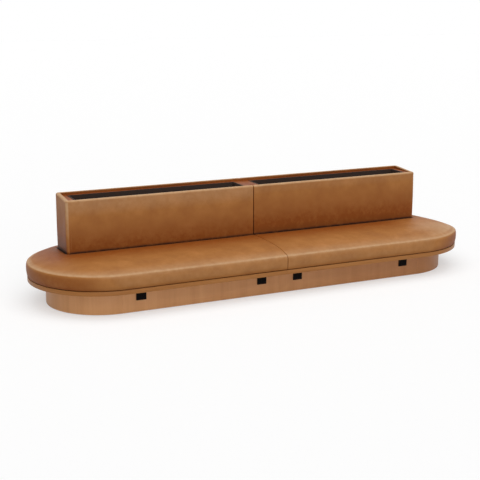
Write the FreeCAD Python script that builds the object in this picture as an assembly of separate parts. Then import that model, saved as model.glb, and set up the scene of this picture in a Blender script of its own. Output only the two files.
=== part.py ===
import FreeCAD, Part
import math
import os

# Upholstered island banquette: two bolted modules with a rounded seat end each.
# X runs along the bench, the front faces -Y, and the floor is z = 0.
# Every length is in millimetres.

# Plan of the seat
half_length = 2225.0
half_depth = 690.0
module_gap = 0.5
soft_clearance = 0.3

# Stack of heights from the floor
glide_height = 5.0
plinth_height = 214.0
deck_thickness = 38.0
shadow_gap = 5.0
seat_board_thickness = 15.0
cushion_side_height = 140.0
cushion_crown_rise = 48.0

# Plinth
plinth_recess = 165.0
plinth_panel_thickness = 18.0
rib_thickness = 18.0
first_rib_x = 92.0
cable_notch_depth = 38.0
cable_notch_height = 36.0
end_post_width = 80.0
end_post_depth = 45.0
glide_diameter = 45.0
glide_rib_setback = 30.0

# Deck and seat board
deck_inset = 8.0
seat_board_inset = 22.0
seat_screw_diameter = 5.0
seat_screw_head_diameter = 10.0
seat_screw_head_height = 3.0
seat_screw_bite = 12.0
seat_screw_y = 300.0
seat_screw_x_shares = (0.12, 0.5, 0.88)

# Seat cushion: the side is drawn in at the bottom and rolls over into the crown
cushion_draw_in = 12.0
cushion_roll_inset = 44.0
cushion_joint_roll = 14.0
# Each row of shares: height up the side, inset as a share of the draw-in
cushion_side_shares = ((0.0, 1.0), (0.16, 0.4), (0.48, 0.0), (0.78, 0.2))
# Each row: height up the side, inset as a share of the roll inset, joint inset share
cushion_roll_shares = ((0.9, 0.2, 0.12), (0.965, 0.5, 0.3), (1.0, 1.0, 0.5))
# Each row: rise as a share of the crown, inset as a share of the half depth, joint inset share
cushion_crown_shares = ((0.3, 0.17, 0.7), (0.66, 0.37, 0.85), (0.9, 0.62, 0.95), (1.0, 0.92, 1.0))

# Backrest with its open planter trough
back_end_setback = 366.0
back_front_y = 26.0
back_depth = 349.0
back_rear_height = 679.0
back_front_drop = 23.0
back_board_thickness = 15.0
front_pad_thickness = 17.0
rear_pad_thickness = 20.0
end_pad_thickness = 25.0
pad_cap_thickness = 8.0
pad_crown = 3.0
pad_roll_radius = 14.0
pad_inner_radius = 5.0
divider_x_shares = (1 / 3, 2 / 3)
shelf_thickness = 15.0

# Ledge that frames each planter opening
ledge_thickness = 12.0
ledge_below_front_top = 6.0
slot_front_margin = 16.0
slot_rear_margin = 36.0
slot_joint_margin = 90.0
slot_outer_margin = 66.0

# Planter liner, a sheet-metal tray that lifts out
liner_clearance = 2.0
liner_depth = 200.0
liner_wall = 2.0
liner_rim_width = 14.0
liner_seat_gap = 0.3

# Angle brackets and their screws
bracket_width = 40.0
bracket_leg = 40.0
bracket_thickness = 3.0
bracket_x_shares = (0.2, 0.8)
bracket_screw_offset = 25.0
bracket_screw_half_pitch = 10.0
bracket_screw_diameter = 4.0
bracket_screw_length = 12.0
bracket_screw_head_diameter = 8.0
bracket_screw_head_height = 2.4

# Bolts that join the two modules
joint_bolt_diameter = 8.0
joint_bolt_clearance = 0.5
joint_bolt_flats = 13.0
joint_bolt_head_height = 5.3
joint_nut_height = 6.5
joint_bolt_stub = 3.0
joint_washer_diameter = 16.0
joint_washer_thickness = 1.6
joint_bolt_y_values = (-360.0, -120.0, 120.0, 360.0)

# Power outlets high on the plinth front, one near the joint and one near the round end
inner_outlet_x = 187.0
outer_outlet_end_margin = 170.0
outlet_top_margin = 43.0
plate_width = 94.0
plate_height = 68.0
plate_thickness = 4.0
plate_corner_radius = 5.0
insert_width = 68.0
insert_height = 34.0
insert_depth = 28.0
insert_recess = 0.5
insert_clearance = 0.2
ear_thickness = 1.6
ear_height = 12.0
box_width = 88.0
box_height = 62.0
box_depth = 50.0
box_wall = 1.6
box_clearance = 0.3
lug_width = 6.4
lug_height = 10.0
lug_depth = 14.0
plate_screw_diameter = 3.5
plate_screw_hole_clearance = 0.35
plate_screw_head_diameter = 6.4
plate_screw_head_height = 1.6
plate_screw_grip = 12.0
socket_half_spacing = 17.0
pin_slot_width = 2.0
pin_slot_height = 8.0
pin_slot_depth = 14.0
pin_slot_half_pitch = 6.35
pin_slot_rise = 3.0
earth_hole_diameter = 4.4
earth_hole_drop = 8.0

# Wiring conduit and the supply inlet at the rear
conduit_diameter = 20.0
conduit_wall = 1.5
conduit_setback = 14.0
inlet_flange_width = 50.0
inlet_flange_height = 34.0
inlet_flange_thickness = 3.0
inlet_body_width = 29.6
inlet_body_height = 23.6
inlet_body_depth = 30.0
inlet_recess_width = 24.0
inlet_recess_height = 17.0
inlet_recess_depth = 16.0
inlet_clearance = 0.3
inlet_screw_x = 20.0
inlet_screw_diameter = 3.5
inlet_screw_length = 16.0
inlet_screw_head_diameter = 6.4
inlet_screw_head_height = 1.6

# How far a cutting tool runs past the face that it cuts
overrun = 4.0

# Levels and planes worked out from the sizes above
straight_end_x = half_length - half_depth
back_half_length = half_length - back_end_setback
deck_z = glide_height + plinth_height
seat_board_z = deck_z + deck_thickness
cushion_z = seat_board_z + shadow_gap
seat_board_top = seat_board_z + seat_board_thickness
cushion_edge_z = cushion_z + cushion_side_height
plinth_y = half_depth - plinth_recess
plinth_inner_y = plinth_y - plinth_panel_thickness
back_rear_y = back_front_y + back_depth
back_rear_top = seat_board_top + back_rear_height
back_front_top = back_rear_top - back_front_drop
front_board_y = back_front_y + front_pad_thickness
trough_front_y = front_board_y + back_board_thickness
rear_board_y = back_rear_y - rear_pad_thickness
trough_rear_y = rear_board_y - back_board_thickness
end_board_x = back_half_length - end_pad_thickness
trough_end_x = end_board_x - back_board_thickness
ledge_top = back_front_top - ledge_below_front_top
ledge_bottom = ledge_top - ledge_thickness
slot_x0 = module_gap + slot_joint_margin
slot_x1 = trough_end_x - slot_outer_margin
slot_y0 = trough_front_y + slot_front_margin
slot_y1 = trough_rear_y - slot_rear_margin
rim_bottom = ledge_top + liner_seat_gap
rim_top = rim_bottom + liner_wall
liner_base = rim_top - liner_depth
shelf_top = liner_base - liner_seat_gap
shelf_bottom = shelf_top - shelf_thickness
outlet_x_values = (inner_outlet_x, straight_end_x - outer_outlet_end_margin)
outlet_z = deck_z - outlet_top_margin - plate_height / 2
box_back_y = -plinth_y + box_depth
conduit_y = box_back_y - conduit_setback
lug_face_y = -plinth_y + ear_thickness
plate_screw_x = box_width / 2 - box_wall - lug_width / 2
rib_x_values = (first_rib_x, (first_rib_x + straight_end_x) / 2, straight_end_x - rib_thickness / 2)

X_AXIS = FreeCAD.Vector(1, 0, 0)
Y_AXIS = FreeCAD.Vector(0, 1, 0)
Z_AXIS = FreeCAD.Vector(0, 0, 1)
ORIGIN = FreeCAD.Vector(0, 0, 0)


def box(x0, x1, y0, y1, z0, z1):
    """A block between two corners."""
    return Part.makeBox(x1 - x0, y1 - y0, z1 - z0, FreeCAD.Vector(x0, y0, z0))


def rod(diameter, length, start, axis):
    """A round bar from its start point along an axis."""
    return Part.makeCylinder(diameter / 2, length, start, axis)


def tube(diameter, wall, length, start, axis):
    """A round pipe from its start point along an axis."""
    return rod(diameter, length, start, axis).cut(rod(diameter - 2 * wall, length, start, axis))


def hexagon(flats, height, start, axis):
    """A hexagonal prism along X, from its start point."""
    radius = flats / math.sqrt(3)
    corners = [start + FreeCAD.Vector(0, radius * math.cos(k * math.pi / 3), radius * math.sin(k * math.pi / 3))
               for k in range(7)]
    return Part.Face(Part.makePolygon(corners)).extrude(axis * height)


def mirrored(shape):
    """The same piece on the other module."""
    return shape.mirror(ORIGIN, X_AXIS)


def quarter_arc(start, middle, end):
    """An arc edge through three points."""
    return Part.Arc(start, middle, end).toShape()


def line(start, end):
    """A straight edge."""
    return Part.LineSegment(start, end).toShape()


def half_stadium(inset, joint_x, z):
    """The closed outline of one module's seat: straight at the joint, round at the end."""
    r = half_depth - inset
    x = straight_end_x
    diagonal = r / math.sqrt(2)
    front_joint = FreeCAD.Vector(joint_x, -r, z)
    front_end = FreeCAD.Vector(x, -r, z)
    tip = FreeCAD.Vector(x + r, 0, z)
    rear_end = FreeCAD.Vector(x, r, z)
    rear_joint = FreeCAD.Vector(joint_x, r, z)
    return Part.Wire([
        line(front_joint, front_end),
        quarter_arc(front_end, FreeCAD.Vector(x + diagonal, -diagonal, z), tip),
        quarter_arc(tip, FreeCAD.Vector(x + diagonal, diagonal, z), rear_end),
        line(rear_end, rear_joint),
        line(rear_joint, front_joint),
    ])


def stadium_slab(inset, z0, z1):
    """A flat board of one module's plan."""
    return Part.Face(half_stadium(inset, module_gap, z0)).extrude(Z_AXIS * (z1 - z0))


# Plinth

def outlet_cutouts():
    """The two holes for the outlet boxes of one module."""
    half_w = box_width / 2 + box_clearance
    half_h = box_height / 2 + box_clearance
    return [box(x - half_w, x + half_w, -plinth_y - overrun, -plinth_inner_y + overrun,
                outlet_z - half_h, outlet_z + half_h) for x in outlet_x_values]


def plinth_front_panel():
    panel = box(0, straight_end_x, -plinth_y, -plinth_inner_y, glide_height, deck_z)
    for cutout in outlet_cutouts():
        panel = panel.cut(cutout)
    return panel


def plinth_rear_panel():
    return box(0, straight_end_x, plinth_inner_y, plinth_y, glide_height, deck_z)


def plinth_quarter(side):
    """A bent panel a quarter of the way round the end; side is -1 in front and 1 behind."""
    def points(r):
        diagonal = r / math.sqrt(2)
        return (FreeCAD.Vector(straight_end_x, side * r, glide_height),
                FreeCAD.Vector(straight_end_x + diagonal, side * diagonal, glide_height),
                FreeCAD.Vector(straight_end_x + r, 0, glide_height))
    outer = points(plinth_y)
    inner = points(plinth_inner_y)
    ring = Part.Wire([quarter_arc(*outer), line(outer[2], inner[2]), quarter_arc(*inner[::-1]),
                      line(inner[0], outer[0])])
    return Part.Face(ring).extrude(Z_AXIS * plinth_height)


def cable_notch(x0, x1):
    """The front notch that lets the conduit through a rib."""
    return box(x0 - overrun, x1 + overrun, -plinth_inner_y - overrun, -plinth_inner_y + cable_notch_depth,
               outlet_z - cable_notch_height / 2, outlet_z + cable_notch_height / 2)


def plinth_cross_board(x0, x1):
    """A board across the inside of the plinth, with its cable notch."""
    board = box(x0, x1, -plinth_inner_y, plinth_inner_y, glide_height, deck_z)
    return board.cut(cable_notch(x0, x1))


def plinth_joint_panel():
    panel = plinth_cross_board(0, plinth_panel_thickness)
    hole = joint_bolt_diameter + joint_bolt_clearance
    for y in joint_bolt_y_values:
        panel = panel.cut(rod(hole, plinth_panel_thickness, FreeCAD.Vector(0, y, joint_bolt_z()), X_AXIS))
    return panel


def plinth_ribs():
    return [plinth_cross_board(x - rib_thickness / 2, x + rib_thickness / 2) for x in rib_x_values]


def plinth_end_post():
    """A block that backs the joint of the two bent panels."""
    inner_x = straight_end_x + plinth_inner_y
    block = box(inner_x - end_post_depth, inner_x, -end_post_width / 2, end_post_width / 2, glide_height, deck_z)
    drum = Part.makeCylinder(plinth_inner_y, plinth_height, FreeCAD.Vector(straight_end_x, 0, glide_height))
    return block.common(drum)


def floor_glides():
    """Hard pads under the ribs and under the end post."""
    y = plinth_inner_y - glide_rib_setback
    places = [(x, side * y) for x in rib_x_values for side in (-1, 1)]
    places.append((straight_end_x + plinth_inner_y - end_post_depth / 2, 0))
    return [rod(glide_diameter, glide_height, FreeCAD.Vector(x, y, 0), Z_AXIS) for x, y in places]


# Deck, seat board and the screws between them

def seat_screw_places():
    return [(straight_end_x * share, side * seat_screw_y) for share in seat_screw_x_shares for side in (-1, 1)]


def seat_screw(x, y):
    """A countersunk screw driven up through the deck into the seat board."""
    start = FreeCAD.Vector(x, y, deck_z)
    head = Part.makeCone(seat_screw_head_diameter / 2, seat_screw_diameter / 2, seat_screw_head_height, start)
    return head.fuse(rod(seat_screw_diameter, deck_thickness + seat_screw_bite, start, Z_AXIS)).removeSplitter()


def seat_screws():
    return [seat_screw(x, y) for x, y in seat_screw_places()]


def deck_board():
    return stadium_slab(deck_inset, deck_z, seat_board_z).cut(Part.makeCompound(seat_screws()))


def seat_board():
    board = stadium_slab(seat_board_inset, seat_board_z, seat_board_top)
    return board.cut(Part.makeCompound(seat_screws() + bracket_screws()))


# Seat cushion

def cushion_rings():
    """Outlines of the cushion from its drawn-in bottom to its crown."""
    rings = []
    for height_share, inset_share in cushion_side_shares:
        z = cushion_z + cushion_side_height * height_share
        rings.append(half_stadium(cushion_draw_in * inset_share, module_gap, z))
    for height_share, inset_share, joint_share in cushion_roll_shares:
        z = cushion_z + cushion_side_height * height_share
        joint_x = module_gap + cushion_joint_roll * joint_share
        rings.append(half_stadium(cushion_roll_inset * inset_share, joint_x, z))
    for rise_share, inset_share, joint_share in cushion_crown_shares:
        z = cushion_edge_z + cushion_crown_rise * rise_share
        joint_x = module_gap + cushion_joint_roll * joint_share
        rings.append(half_stadium(half_depth * inset_share, joint_x, z))
    return rings


def seat_cushion():
    """The padded seat, wrapped over its board and fitted round the backrest."""
    form = Part.makeLoft(cushion_rings(), True, True)
    pocket = stadium_slab(seat_board_inset, seat_board_z, seat_board_top)
    top = cushion_edge_z + cushion_crown_rise + overrun
    backrest = box(-overrun, back_half_length + soft_clearance, back_front_y - soft_clearance,
                   back_rear_y + soft_clearance, seat_board_z, top)
    return form.cut(pocket).cut(backrest)


# Backrest frame

def back_front_board():
    board = box(module_gap, end_board_x, front_board_y, trough_front_y, seat_board_top,
                back_front_top - pad_cap_thickness)
    return board.cut(Part.makeCompound(bracket_screws()))


def back_rear_board():
    board = box(module_gap, end_board_x, trough_rear_y, rear_board_y, seat_board_top,
                back_rear_top - pad_cap_thickness)
    return board.cut(Part.makeCompound(bracket_screws()))


def back_outer_end_board():
    """The end wall's board, whose top slopes from the rear wall down to the front one."""
    front_top = back_front_top - pad_cap_thickness
    rear_top = back_rear_top - pad_cap_thickness
    outline = Part.makePolygon([
        FreeCAD.Vector(trough_end_x, trough_front_y, seat_board_top),
        FreeCAD.Vector(trough_end_x, trough_rear_y, seat_board_top),
        FreeCAD.Vector(trough_end_x, trough_rear_y, rear_top),
        FreeCAD.Vector(trough_end_x, trough_front_y, front_top),
        FreeCAD.Vector(trough_end_x, trough_front_y, seat_board_top),
    ])
    return Part.Face(outline).extrude(X_AXIS * back_board_thickness)


def back_inner_end_board():
    return box(module_gap, module_gap + back_board_thickness, trough_front_y, trough_rear_y,
               seat_board_top, ledge_bottom)


def back_dividers():
    """Upright boards that carry the shelf."""
    half = back_board_thickness / 2
    return [box(trough_end_x * share - half, trough_end_x * share + half, trough_front_y, trough_rear_y,
                seat_board_top, shelf_bottom) for share in divider_x_shares]


def back_shelf_board():
    return box(module_gap + back_board_thickness, trough_end_x, trough_front_y, trough_rear_y,
               shelf_bottom, shelf_top)


def back_ledge_frame():
    frame = box(module_gap, trough_end_x, trough_front_y, trough_rear_y, ledge_bottom, ledge_top)
    return frame.cut(box(slot_x0, slot_x1, slot_y0, slot_y1, ledge_bottom - overrun, ledge_top + overrun))


# Backrest pads

def wall_section(outer_y, inner_y, top):
    """Section across a padded wall: a crowned outer face, a rolled top and a small inner edge."""
    way = 1 if inner_y > outer_y else -1
    bottom = seat_board_top
    roll = pad_roll_radius
    small = pad_inner_radius
    lean = pad_crown * way
    root = math.sqrt(2)
    face_bottom = FreeCAD.Vector(0, outer_y + lean, bottom)
    face_middle = FreeCAD.Vector(0, outer_y, (bottom + top - roll) / 2)
    face_top = FreeCAD.Vector(0, outer_y + lean, top - roll)
    roll_middle = FreeCAD.Vector(0, outer_y + lean + way * (roll - roll / root), top - roll + roll / root)
    roll_end = FreeCAD.Vector(0, outer_y + lean + way * roll, top)
    edge_start = FreeCAD.Vector(0, inner_y - way * small, top)
    edge_middle = FreeCAD.Vector(0, inner_y - way * (small - small / root), top - small + small / root)
    edge_end = FreeCAD.Vector(0, inner_y, top - small)
    foot = FreeCAD.Vector(0, inner_y, bottom)
    return Part.Wire([
        quarter_arc(face_bottom, face_middle, face_top),
        quarter_arc(face_top, roll_middle, roll_end),
        line(roll_end, edge_start),
        quarter_arc(edge_start, edge_middle, edge_end),
        line(edge_end, foot),
        line(foot, face_bottom),
    ])


def wall_plan(outer_y, inner_y, top):
    """Plan of a padded wall, with its two outer corners rounded, as a tall block."""
    way = 1 if inner_y > outer_y else -1
    x0 = module_gap
    x1 = back_half_length
    r = pad_roll_radius
    bend = r - r / math.sqrt(2)
    z = seat_board_top
    near_joint = FreeCAD.Vector(x0 + r, outer_y, z)
    near_end = FreeCAD.Vector(x1 - r, outer_y, z)
    end_corner = FreeCAD.Vector(x1, outer_y + way * r, z)
    joint_corner = FreeCAD.Vector(x0, outer_y + way * r, z)
    far_end = FreeCAD.Vector(x1, inner_y, z)
    far_joint = FreeCAD.Vector(x0, inner_y, z)
    outline = Part.Wire([
        line(near_joint, near_end),
        quarter_arc(near_end, FreeCAD.Vector(x1 - bend, outer_y + way * bend, z), end_corner),
        line(end_corner, far_end),
        line(far_end, far_joint),
        line(far_joint, joint_corner),
        quarter_arc(joint_corner, FreeCAD.Vector(x0 + bend, outer_y + way * bend, z), near_joint),
    ])
    return Part.Face(outline).extrude(Z_AXIS * (top - z))


def padded_wall(outer_y, inner_y, top, board):
    """The pad that covers a long board on its face, top and end."""
    length = back_half_length - module_gap
    prism = Part.Face(wall_section(outer_y, inner_y, top)).extrude(X_AXIS * length)
    prism.translate(X_AXIS * module_gap)
    return prism.common(wall_plan(outer_y, inner_y, top)).cut(board)


def back_front_pad():
    return padded_wall(back_front_y, trough_front_y, back_front_top, solid_front_board())


def back_rear_pad():
    return padded_wall(back_rear_y, trough_rear_y, back_rear_top, solid_rear_board())


def solid_front_board():
    return box(module_gap, end_board_x, front_board_y, trough_front_y, seat_board_top,
               back_front_top - pad_cap_thickness)


def solid_rear_board():
    return box(module_gap, end_board_x, trough_rear_y, rear_board_y, seat_board_top,
               back_rear_top - pad_cap_thickness)


def end_section(y, top):
    """Section across the padded end wall at one depth."""
    bottom = seat_board_top
    outer = back_half_length
    roll = pad_roll_radius
    small = pad_inner_radius
    root = math.sqrt(2)
    lean = outer - pad_crown
    face_bottom = FreeCAD.Vector(lean, y, bottom)
    face_middle = FreeCAD.Vector(outer, y, (bottom + top - roll) / 2)
    face_top = FreeCAD.Vector(lean, y, top - roll)
    roll_middle = FreeCAD.Vector(lean - roll + roll / root, y, top - roll + roll / root)
    roll_end = FreeCAD.Vector(lean - roll, y, top)
    edge_start = FreeCAD.Vector(trough_end_x + small, y, top)
    edge_middle = FreeCAD.Vector(trough_end_x + small - small / root, y, top - small + small / root)
    edge_end = FreeCAD.Vector(trough_end_x, y, top - small)
    foot = FreeCAD.Vector(trough_end_x, y, bottom)
    return Part.Wire([
        quarter_arc(face_bottom, face_middle, face_top),
        quarter_arc(face_top, roll_middle, roll_end),
        line(roll_end, edge_start),
        quarter_arc(edge_start, edge_middle, edge_end),
        line(edge_end, foot),
        line(foot, face_bottom),
    ])


def back_end_pad():
    sections = [end_section(trough_front_y, back_front_top), end_section(trough_rear_y, back_rear_top)]
    return Part.makeLoft(sections, True, True).cut(back_outer_end_board())


# Planter liner

def planter_liner():
    """A tray with a turned-out rim, open at the top."""
    x0 = slot_x0 + liner_clearance
    x1 = slot_x1 - liner_clearance
    y0 = slot_y0 + liner_clearance
    y1 = slot_y1 - liner_clearance
    tray = box(x0, x1, y0, y1, liner_base, rim_top)
    rim = box(x0 - liner_rim_width, x1 + liner_rim_width, y0 - liner_rim_width, y1 + liner_rim_width,
              rim_bottom, rim_top)
    hollow = box(x0 + liner_wall, x1 - liner_wall, y0 + liner_wall, y1 - liner_wall,
                 liner_base + liner_wall, rim_top + overrun)
    return tray.fuse(rim).cut(hollow).removeSplitter()


# Angle brackets inside the backrest

def turned_to_rear(shape):
    """The same fitting on the rear board, seen in a mirror halfway across the trough."""
    return shape.mirror(FreeCAD.Vector(0, (trough_front_y + trough_rear_y) / 2, 0), Y_AXIS)


def bracket_x_values():
    return [back_half_length * share for share in bracket_x_shares]


def front_bracket(x):
    half = bracket_width / 2
    upright = box(x - half, x + half, trough_front_y, trough_front_y + bracket_thickness,
                  seat_board_top, seat_board_top + bracket_leg)
    foot = box(x - half, x + half, trough_front_y, trough_front_y + bracket_leg,
               seat_board_top, seat_board_top + bracket_thickness)
    angle = upright.fuse(foot).removeSplitter()
    return angle.cut(Part.makeCompound(front_bracket_screws(x)))


def pan_screw(start, axis):
    """A pan-head screw whose head sits on a bracket at the start point."""
    head = rod(bracket_screw_head_diameter, bracket_screw_head_height, start, axis * -1)
    shank = rod(bracket_screw_diameter, bracket_thickness + bracket_screw_length, start, axis)
    return head.fuse(shank).removeSplitter()


def front_bracket_screws(x):
    screws = []
    for side in (-1, 1):
        sx = x + side * bracket_screw_half_pitch
        wall_start = FreeCAD.Vector(sx, trough_front_y + bracket_thickness, seat_board_top + bracket_screw_offset)
        foot_start = FreeCAD.Vector(sx, trough_front_y + bracket_screw_offset, seat_board_top + bracket_thickness)
        screws.append(pan_screw(wall_start, Y_AXIS * -1))
        screws.append(pan_screw(foot_start, Z_AXIS * -1))
    return screws


def back_brackets():
    front = [front_bracket(x) for x in bracket_x_values()]
    return front + [turned_to_rear(shape) for shape in front]


def bracket_screws():
    front = [screw for x in bracket_x_values() for screw in front_bracket_screws(x)]
    return front + [turned_to_rear(shape) for shape in front]


# Bolts between the modules

def joint_bolt_z():
    return glide_height + plinth_height / 2


def joint_bolts():
    """Hexagon bolts with the head on the left module."""
    bolts = []
    grip = plinth_panel_thickness + joint_washer_thickness
    length = 2 * grip + joint_nut_height + joint_bolt_stub
    for y in joint_bolt_y_values:
        seat = FreeCAD.Vector(-grip, y, joint_bolt_z())
        head = hexagon(joint_bolt_flats, joint_bolt_head_height, seat, X_AXIS * -1)
        bolts.append(head.fuse(rod(joint_bolt_diameter, length, seat, X_AXIS)).removeSplitter())
    return bolts


def joint_nuts():
    nuts = []
    grip = plinth_panel_thickness + joint_washer_thickness
    for y in joint_bolt_y_values:
        seat = FreeCAD.Vector(grip, y, joint_bolt_z())
        nut = hexagon(joint_bolt_flats, joint_nut_height, seat, X_AXIS)
        nuts.append(nut.cut(rod(joint_bolt_diameter, joint_nut_height, seat, X_AXIS)))
    return nuts


def joint_washers():
    washers = []
    hole = joint_bolt_diameter + joint_bolt_clearance
    for y in joint_bolt_y_values:
        for side in (-1, 1):
            seat = FreeCAD.Vector(side * plinth_panel_thickness, y, joint_bolt_z())
            disc = rod(joint_washer_diameter, joint_washer_thickness, seat, X_AXIS * side)
            washers.append(disc.cut(rod(hole, joint_washer_thickness, seat, X_AXIS * side)))
    return washers


# Power outlets

def outlet_screw_starts(x):
    return [FreeCAD.Vector(x + side * plate_screw_x, -plinth_y - plate_thickness, outlet_z) for side in (-1, 1)]


def outlet_screws_at(x):
    screws = []
    for start in outlet_screw_starts(x):
        head = rod(plate_screw_head_diameter, plate_screw_head_height, start, Y_AXIS * -1)
        shank = rod(plate_screw_diameter, plate_thickness + ear_thickness + plate_screw_grip, start, Y_AXIS)
        screws.append(head.fuse(shank).removeSplitter())
    return screws


def screw_passage(start, length):
    """A clearance hole for a plate screw."""
    return rod(plate_screw_diameter + 2 * plate_screw_hole_clearance, length, start, Y_AXIS)


def outlet_plate(x):
    plate = box(x - plate_width / 2, x + plate_width / 2, -plinth_y - plate_thickness, -plinth_y,
                outlet_z - plate_height / 2, outlet_z + plate_height / 2)
    corners = [edge for edge in plate.Edges if abs(edge.tangentAt(edge.FirstParameter).y) > 0.5]
    plate = plate.makeFillet(plate_corner_radius, corners)
    half_w = insert_width / 2 + insert_clearance
    half_h = insert_height / 2 + insert_clearance
    window = box(x - half_w, x + half_w, -plinth_y - plate_thickness - overrun, -plinth_y + overrun,
                 outlet_z - half_h, outlet_z + half_h)
    plate = plate.cut(window)
    for start in outlet_screw_starts(x):
        plate = plate.cut(screw_passage(start, plate_thickness))
    return plate


def socket_holes(x, front_y):
    """Two flat pin slots and a round earth hole for one socket."""
    holes = []
    for side in (-1, 1):
        sx = x + side * pin_slot_half_pitch
        holes.append(box(sx - pin_slot_width / 2, sx + pin_slot_width / 2, front_y - overrun,
                         front_y + pin_slot_depth, outlet_z + pin_slot_rise - pin_slot_height / 2,
                         outlet_z + pin_slot_rise + pin_slot_height / 2))
    earth = FreeCAD.Vector(x, front_y - overrun, outlet_z - earth_hole_drop)
    holes.append(rod(earth_hole_diameter, pin_slot_depth + overrun, earth, Y_AXIS))
    return holes


def outlet_insert(x):
    """The socket body, hung on two ears that the plate screws clamp."""
    front_y = -plinth_y - plate_thickness + insert_recess
    body = box(x - insert_width / 2, x + insert_width / 2, front_y, front_y + insert_depth,
               outlet_z - insert_height / 2, outlet_z + insert_height / 2)
    ear_reach = box_width / 2 - box_wall - insert_clearance
    ears = box(x - ear_reach, x + ear_reach, -plinth_y, -plinth_y + ear_thickness,
               outlet_z - ear_height / 2, outlet_z + ear_height / 2)
    insert = body.fuse(ears).removeSplitter()
    for start in outlet_screw_starts(x):
        insert = insert.cut(screw_passage(start, plate_thickness + ear_thickness))
    for side in (-1, 1):
        for hole in socket_holes(x + side * socket_half_spacing, front_y):
            insert = insert.cut(hole)
    return insert


def outlet_box(x):
    """The metal box behind the panel, open in front, with a threaded lug each side."""
    outer = box(x - box_width / 2, x + box_width / 2, -plinth_y, box_back_y,
                outlet_z - box_height / 2, outlet_z + box_height / 2)
    inner_half = box_width / 2 - box_wall
    hollow = box(x - inner_half, x + inner_half, -plinth_y - overrun, box_back_y - box_wall,
                 outlet_z - box_height / 2 + box_wall, outlet_z + box_height / 2 - box_wall)
    shell = outer.cut(hollow)
    for side in (-1, 1):
        lug_x = x + side * (inner_half - lug_width / 2)
        lug = box(lug_x - lug_width / 2, lug_x + lug_width / 2, lug_face_y, lug_face_y + lug_depth,
                  outlet_z - lug_height / 2, outlet_z + lug_height / 2)
        shell = shell.fuse(lug)
    return shell.removeSplitter().cut(Part.makeCompound(outlet_screws_at(x)))


def outlets(maker):
    """One piece for each of the four outlets."""
    return [maker(side * x) for x in outlet_x_values for side in (-1, 1)]


# Conduit and supply inlet

def wiring_conduits():
    """Pipes from box to box along the front, and one from the inlet across the plinth."""
    inner_x, outer_x = outlet_x_values
    half_box = box_width / 2
    runs = [(-outer_x + half_box, -inner_x - half_box), (-inner_x + half_box, inner_x - half_box),
            (inner_x + half_box, outer_x - half_box)]
    pipes = [tube(conduit_diameter, conduit_wall, x1 - x0, FreeCAD.Vector(x0, conduit_y, outlet_z), X_AXIS)
             for x0, x1 in runs]
    inlet_inner_y = plinth_y - inlet_body_depth
    pipes.append(tube(conduit_diameter, conduit_wall, inlet_inner_y - box_back_y,
                      FreeCAD.Vector(inner_x, box_back_y, outlet_z), Y_AXIS))
    return pipes


def inlet_screw_starts():
    return [FreeCAD.Vector(outlet_x_values[0] + side * inlet_screw_x, plinth_y + inlet_flange_thickness, outlet_z)
            for side in (-1, 1)]


def inlet_screws():
    screws = []
    for start in inlet_screw_starts():
        head = rod(inlet_screw_head_diameter, inlet_screw_head_height, start, Y_AXIS)
        shank = rod(inlet_screw_diameter, inlet_screw_length, start, Y_AXIS * -1)
        screws.append(head.fuse(shank).removeSplitter())
    return screws


def power_inlet():
    """The socket at the rear that takes a detachable supply lead."""
    x = outlet_x_values[0]
    flange = box(x - inlet_flange_width / 2, x + inlet_flange_width / 2, plinth_y,
                 plinth_y + inlet_flange_thickness, outlet_z - inlet_flange_height / 2,
                 outlet_z + inlet_flange_height / 2)
    body = box(x - inlet_body_width / 2, x + inlet_body_width / 2, plinth_y - inlet_body_depth, plinth_y,
               outlet_z - inlet_body_height / 2, outlet_z + inlet_body_height / 2)
    front = plinth_y + inlet_flange_thickness
    recess = box(x - inlet_recess_width / 2, x + inlet_recess_width / 2, front - inlet_recess_depth,
                 front + overrun, outlet_z - inlet_recess_height / 2, outlet_z + inlet_recess_height / 2)
    return flange.fuse(body).removeSplitter().cut(recess).cut(Part.makeCompound(inlet_screws()))


def right_plinth_rear_panel():
    """The right rear panel, cut for the inlet and its screws."""
    half_w = inlet_body_width / 2 + inlet_clearance
    half_h = inlet_body_height / 2 + inlet_clearance
    x = outlet_x_values[0]
    cutout = box(x - half_w, x + half_w, plinth_inner_y - overrun, plinth_y + overrun,
                 outlet_z - half_h, outlet_z + half_h)
    return plinth_rear_panel().cut(cutout).cut(Part.makeCompound(inlet_screws()))


# Nodes

def module_nodes():
    """The pieces of the right module, by name."""
    return {
        "plinth_front_panel": plinth_front_panel(),
        "plinth_rear_panel": plinth_rear_panel(),
        "plinth_front_corner": plinth_quarter(-1),
        "plinth_rear_corner": plinth_quarter(1),
        "plinth_joint_panel": plinth_joint_panel(),
        "plinth_ribs": plinth_ribs(),
        "plinth_end_post": plinth_end_post(),
        "floor_glides": floor_glides(),
        "deck_board": deck_board(),
        "seat_board": seat_board(),
        "seat_cushion": seat_cushion(),
        "back_front_board": back_front_board(),
        "back_rear_board": back_rear_board(),
        "back_outer_end_board": back_outer_end_board(),
        "back_inner_end_board": back_inner_end_board(),
        "back_dividers": back_dividers(),
        "back_shelf_board": back_shelf_board(),
        "back_ledge_frame": back_ledge_frame(),
        "back_front_pad": back_front_pad(),
        "back_rear_pad": back_rear_pad(),
        "back_end_pad": back_end_pad(),
        "planter_liner": planter_liner(),
    }


def both_modules(shapes):
    """Pieces of the right module with their mirror images, for one shared node."""
    return shapes + [mirrored(shape) for shape in shapes]


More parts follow.
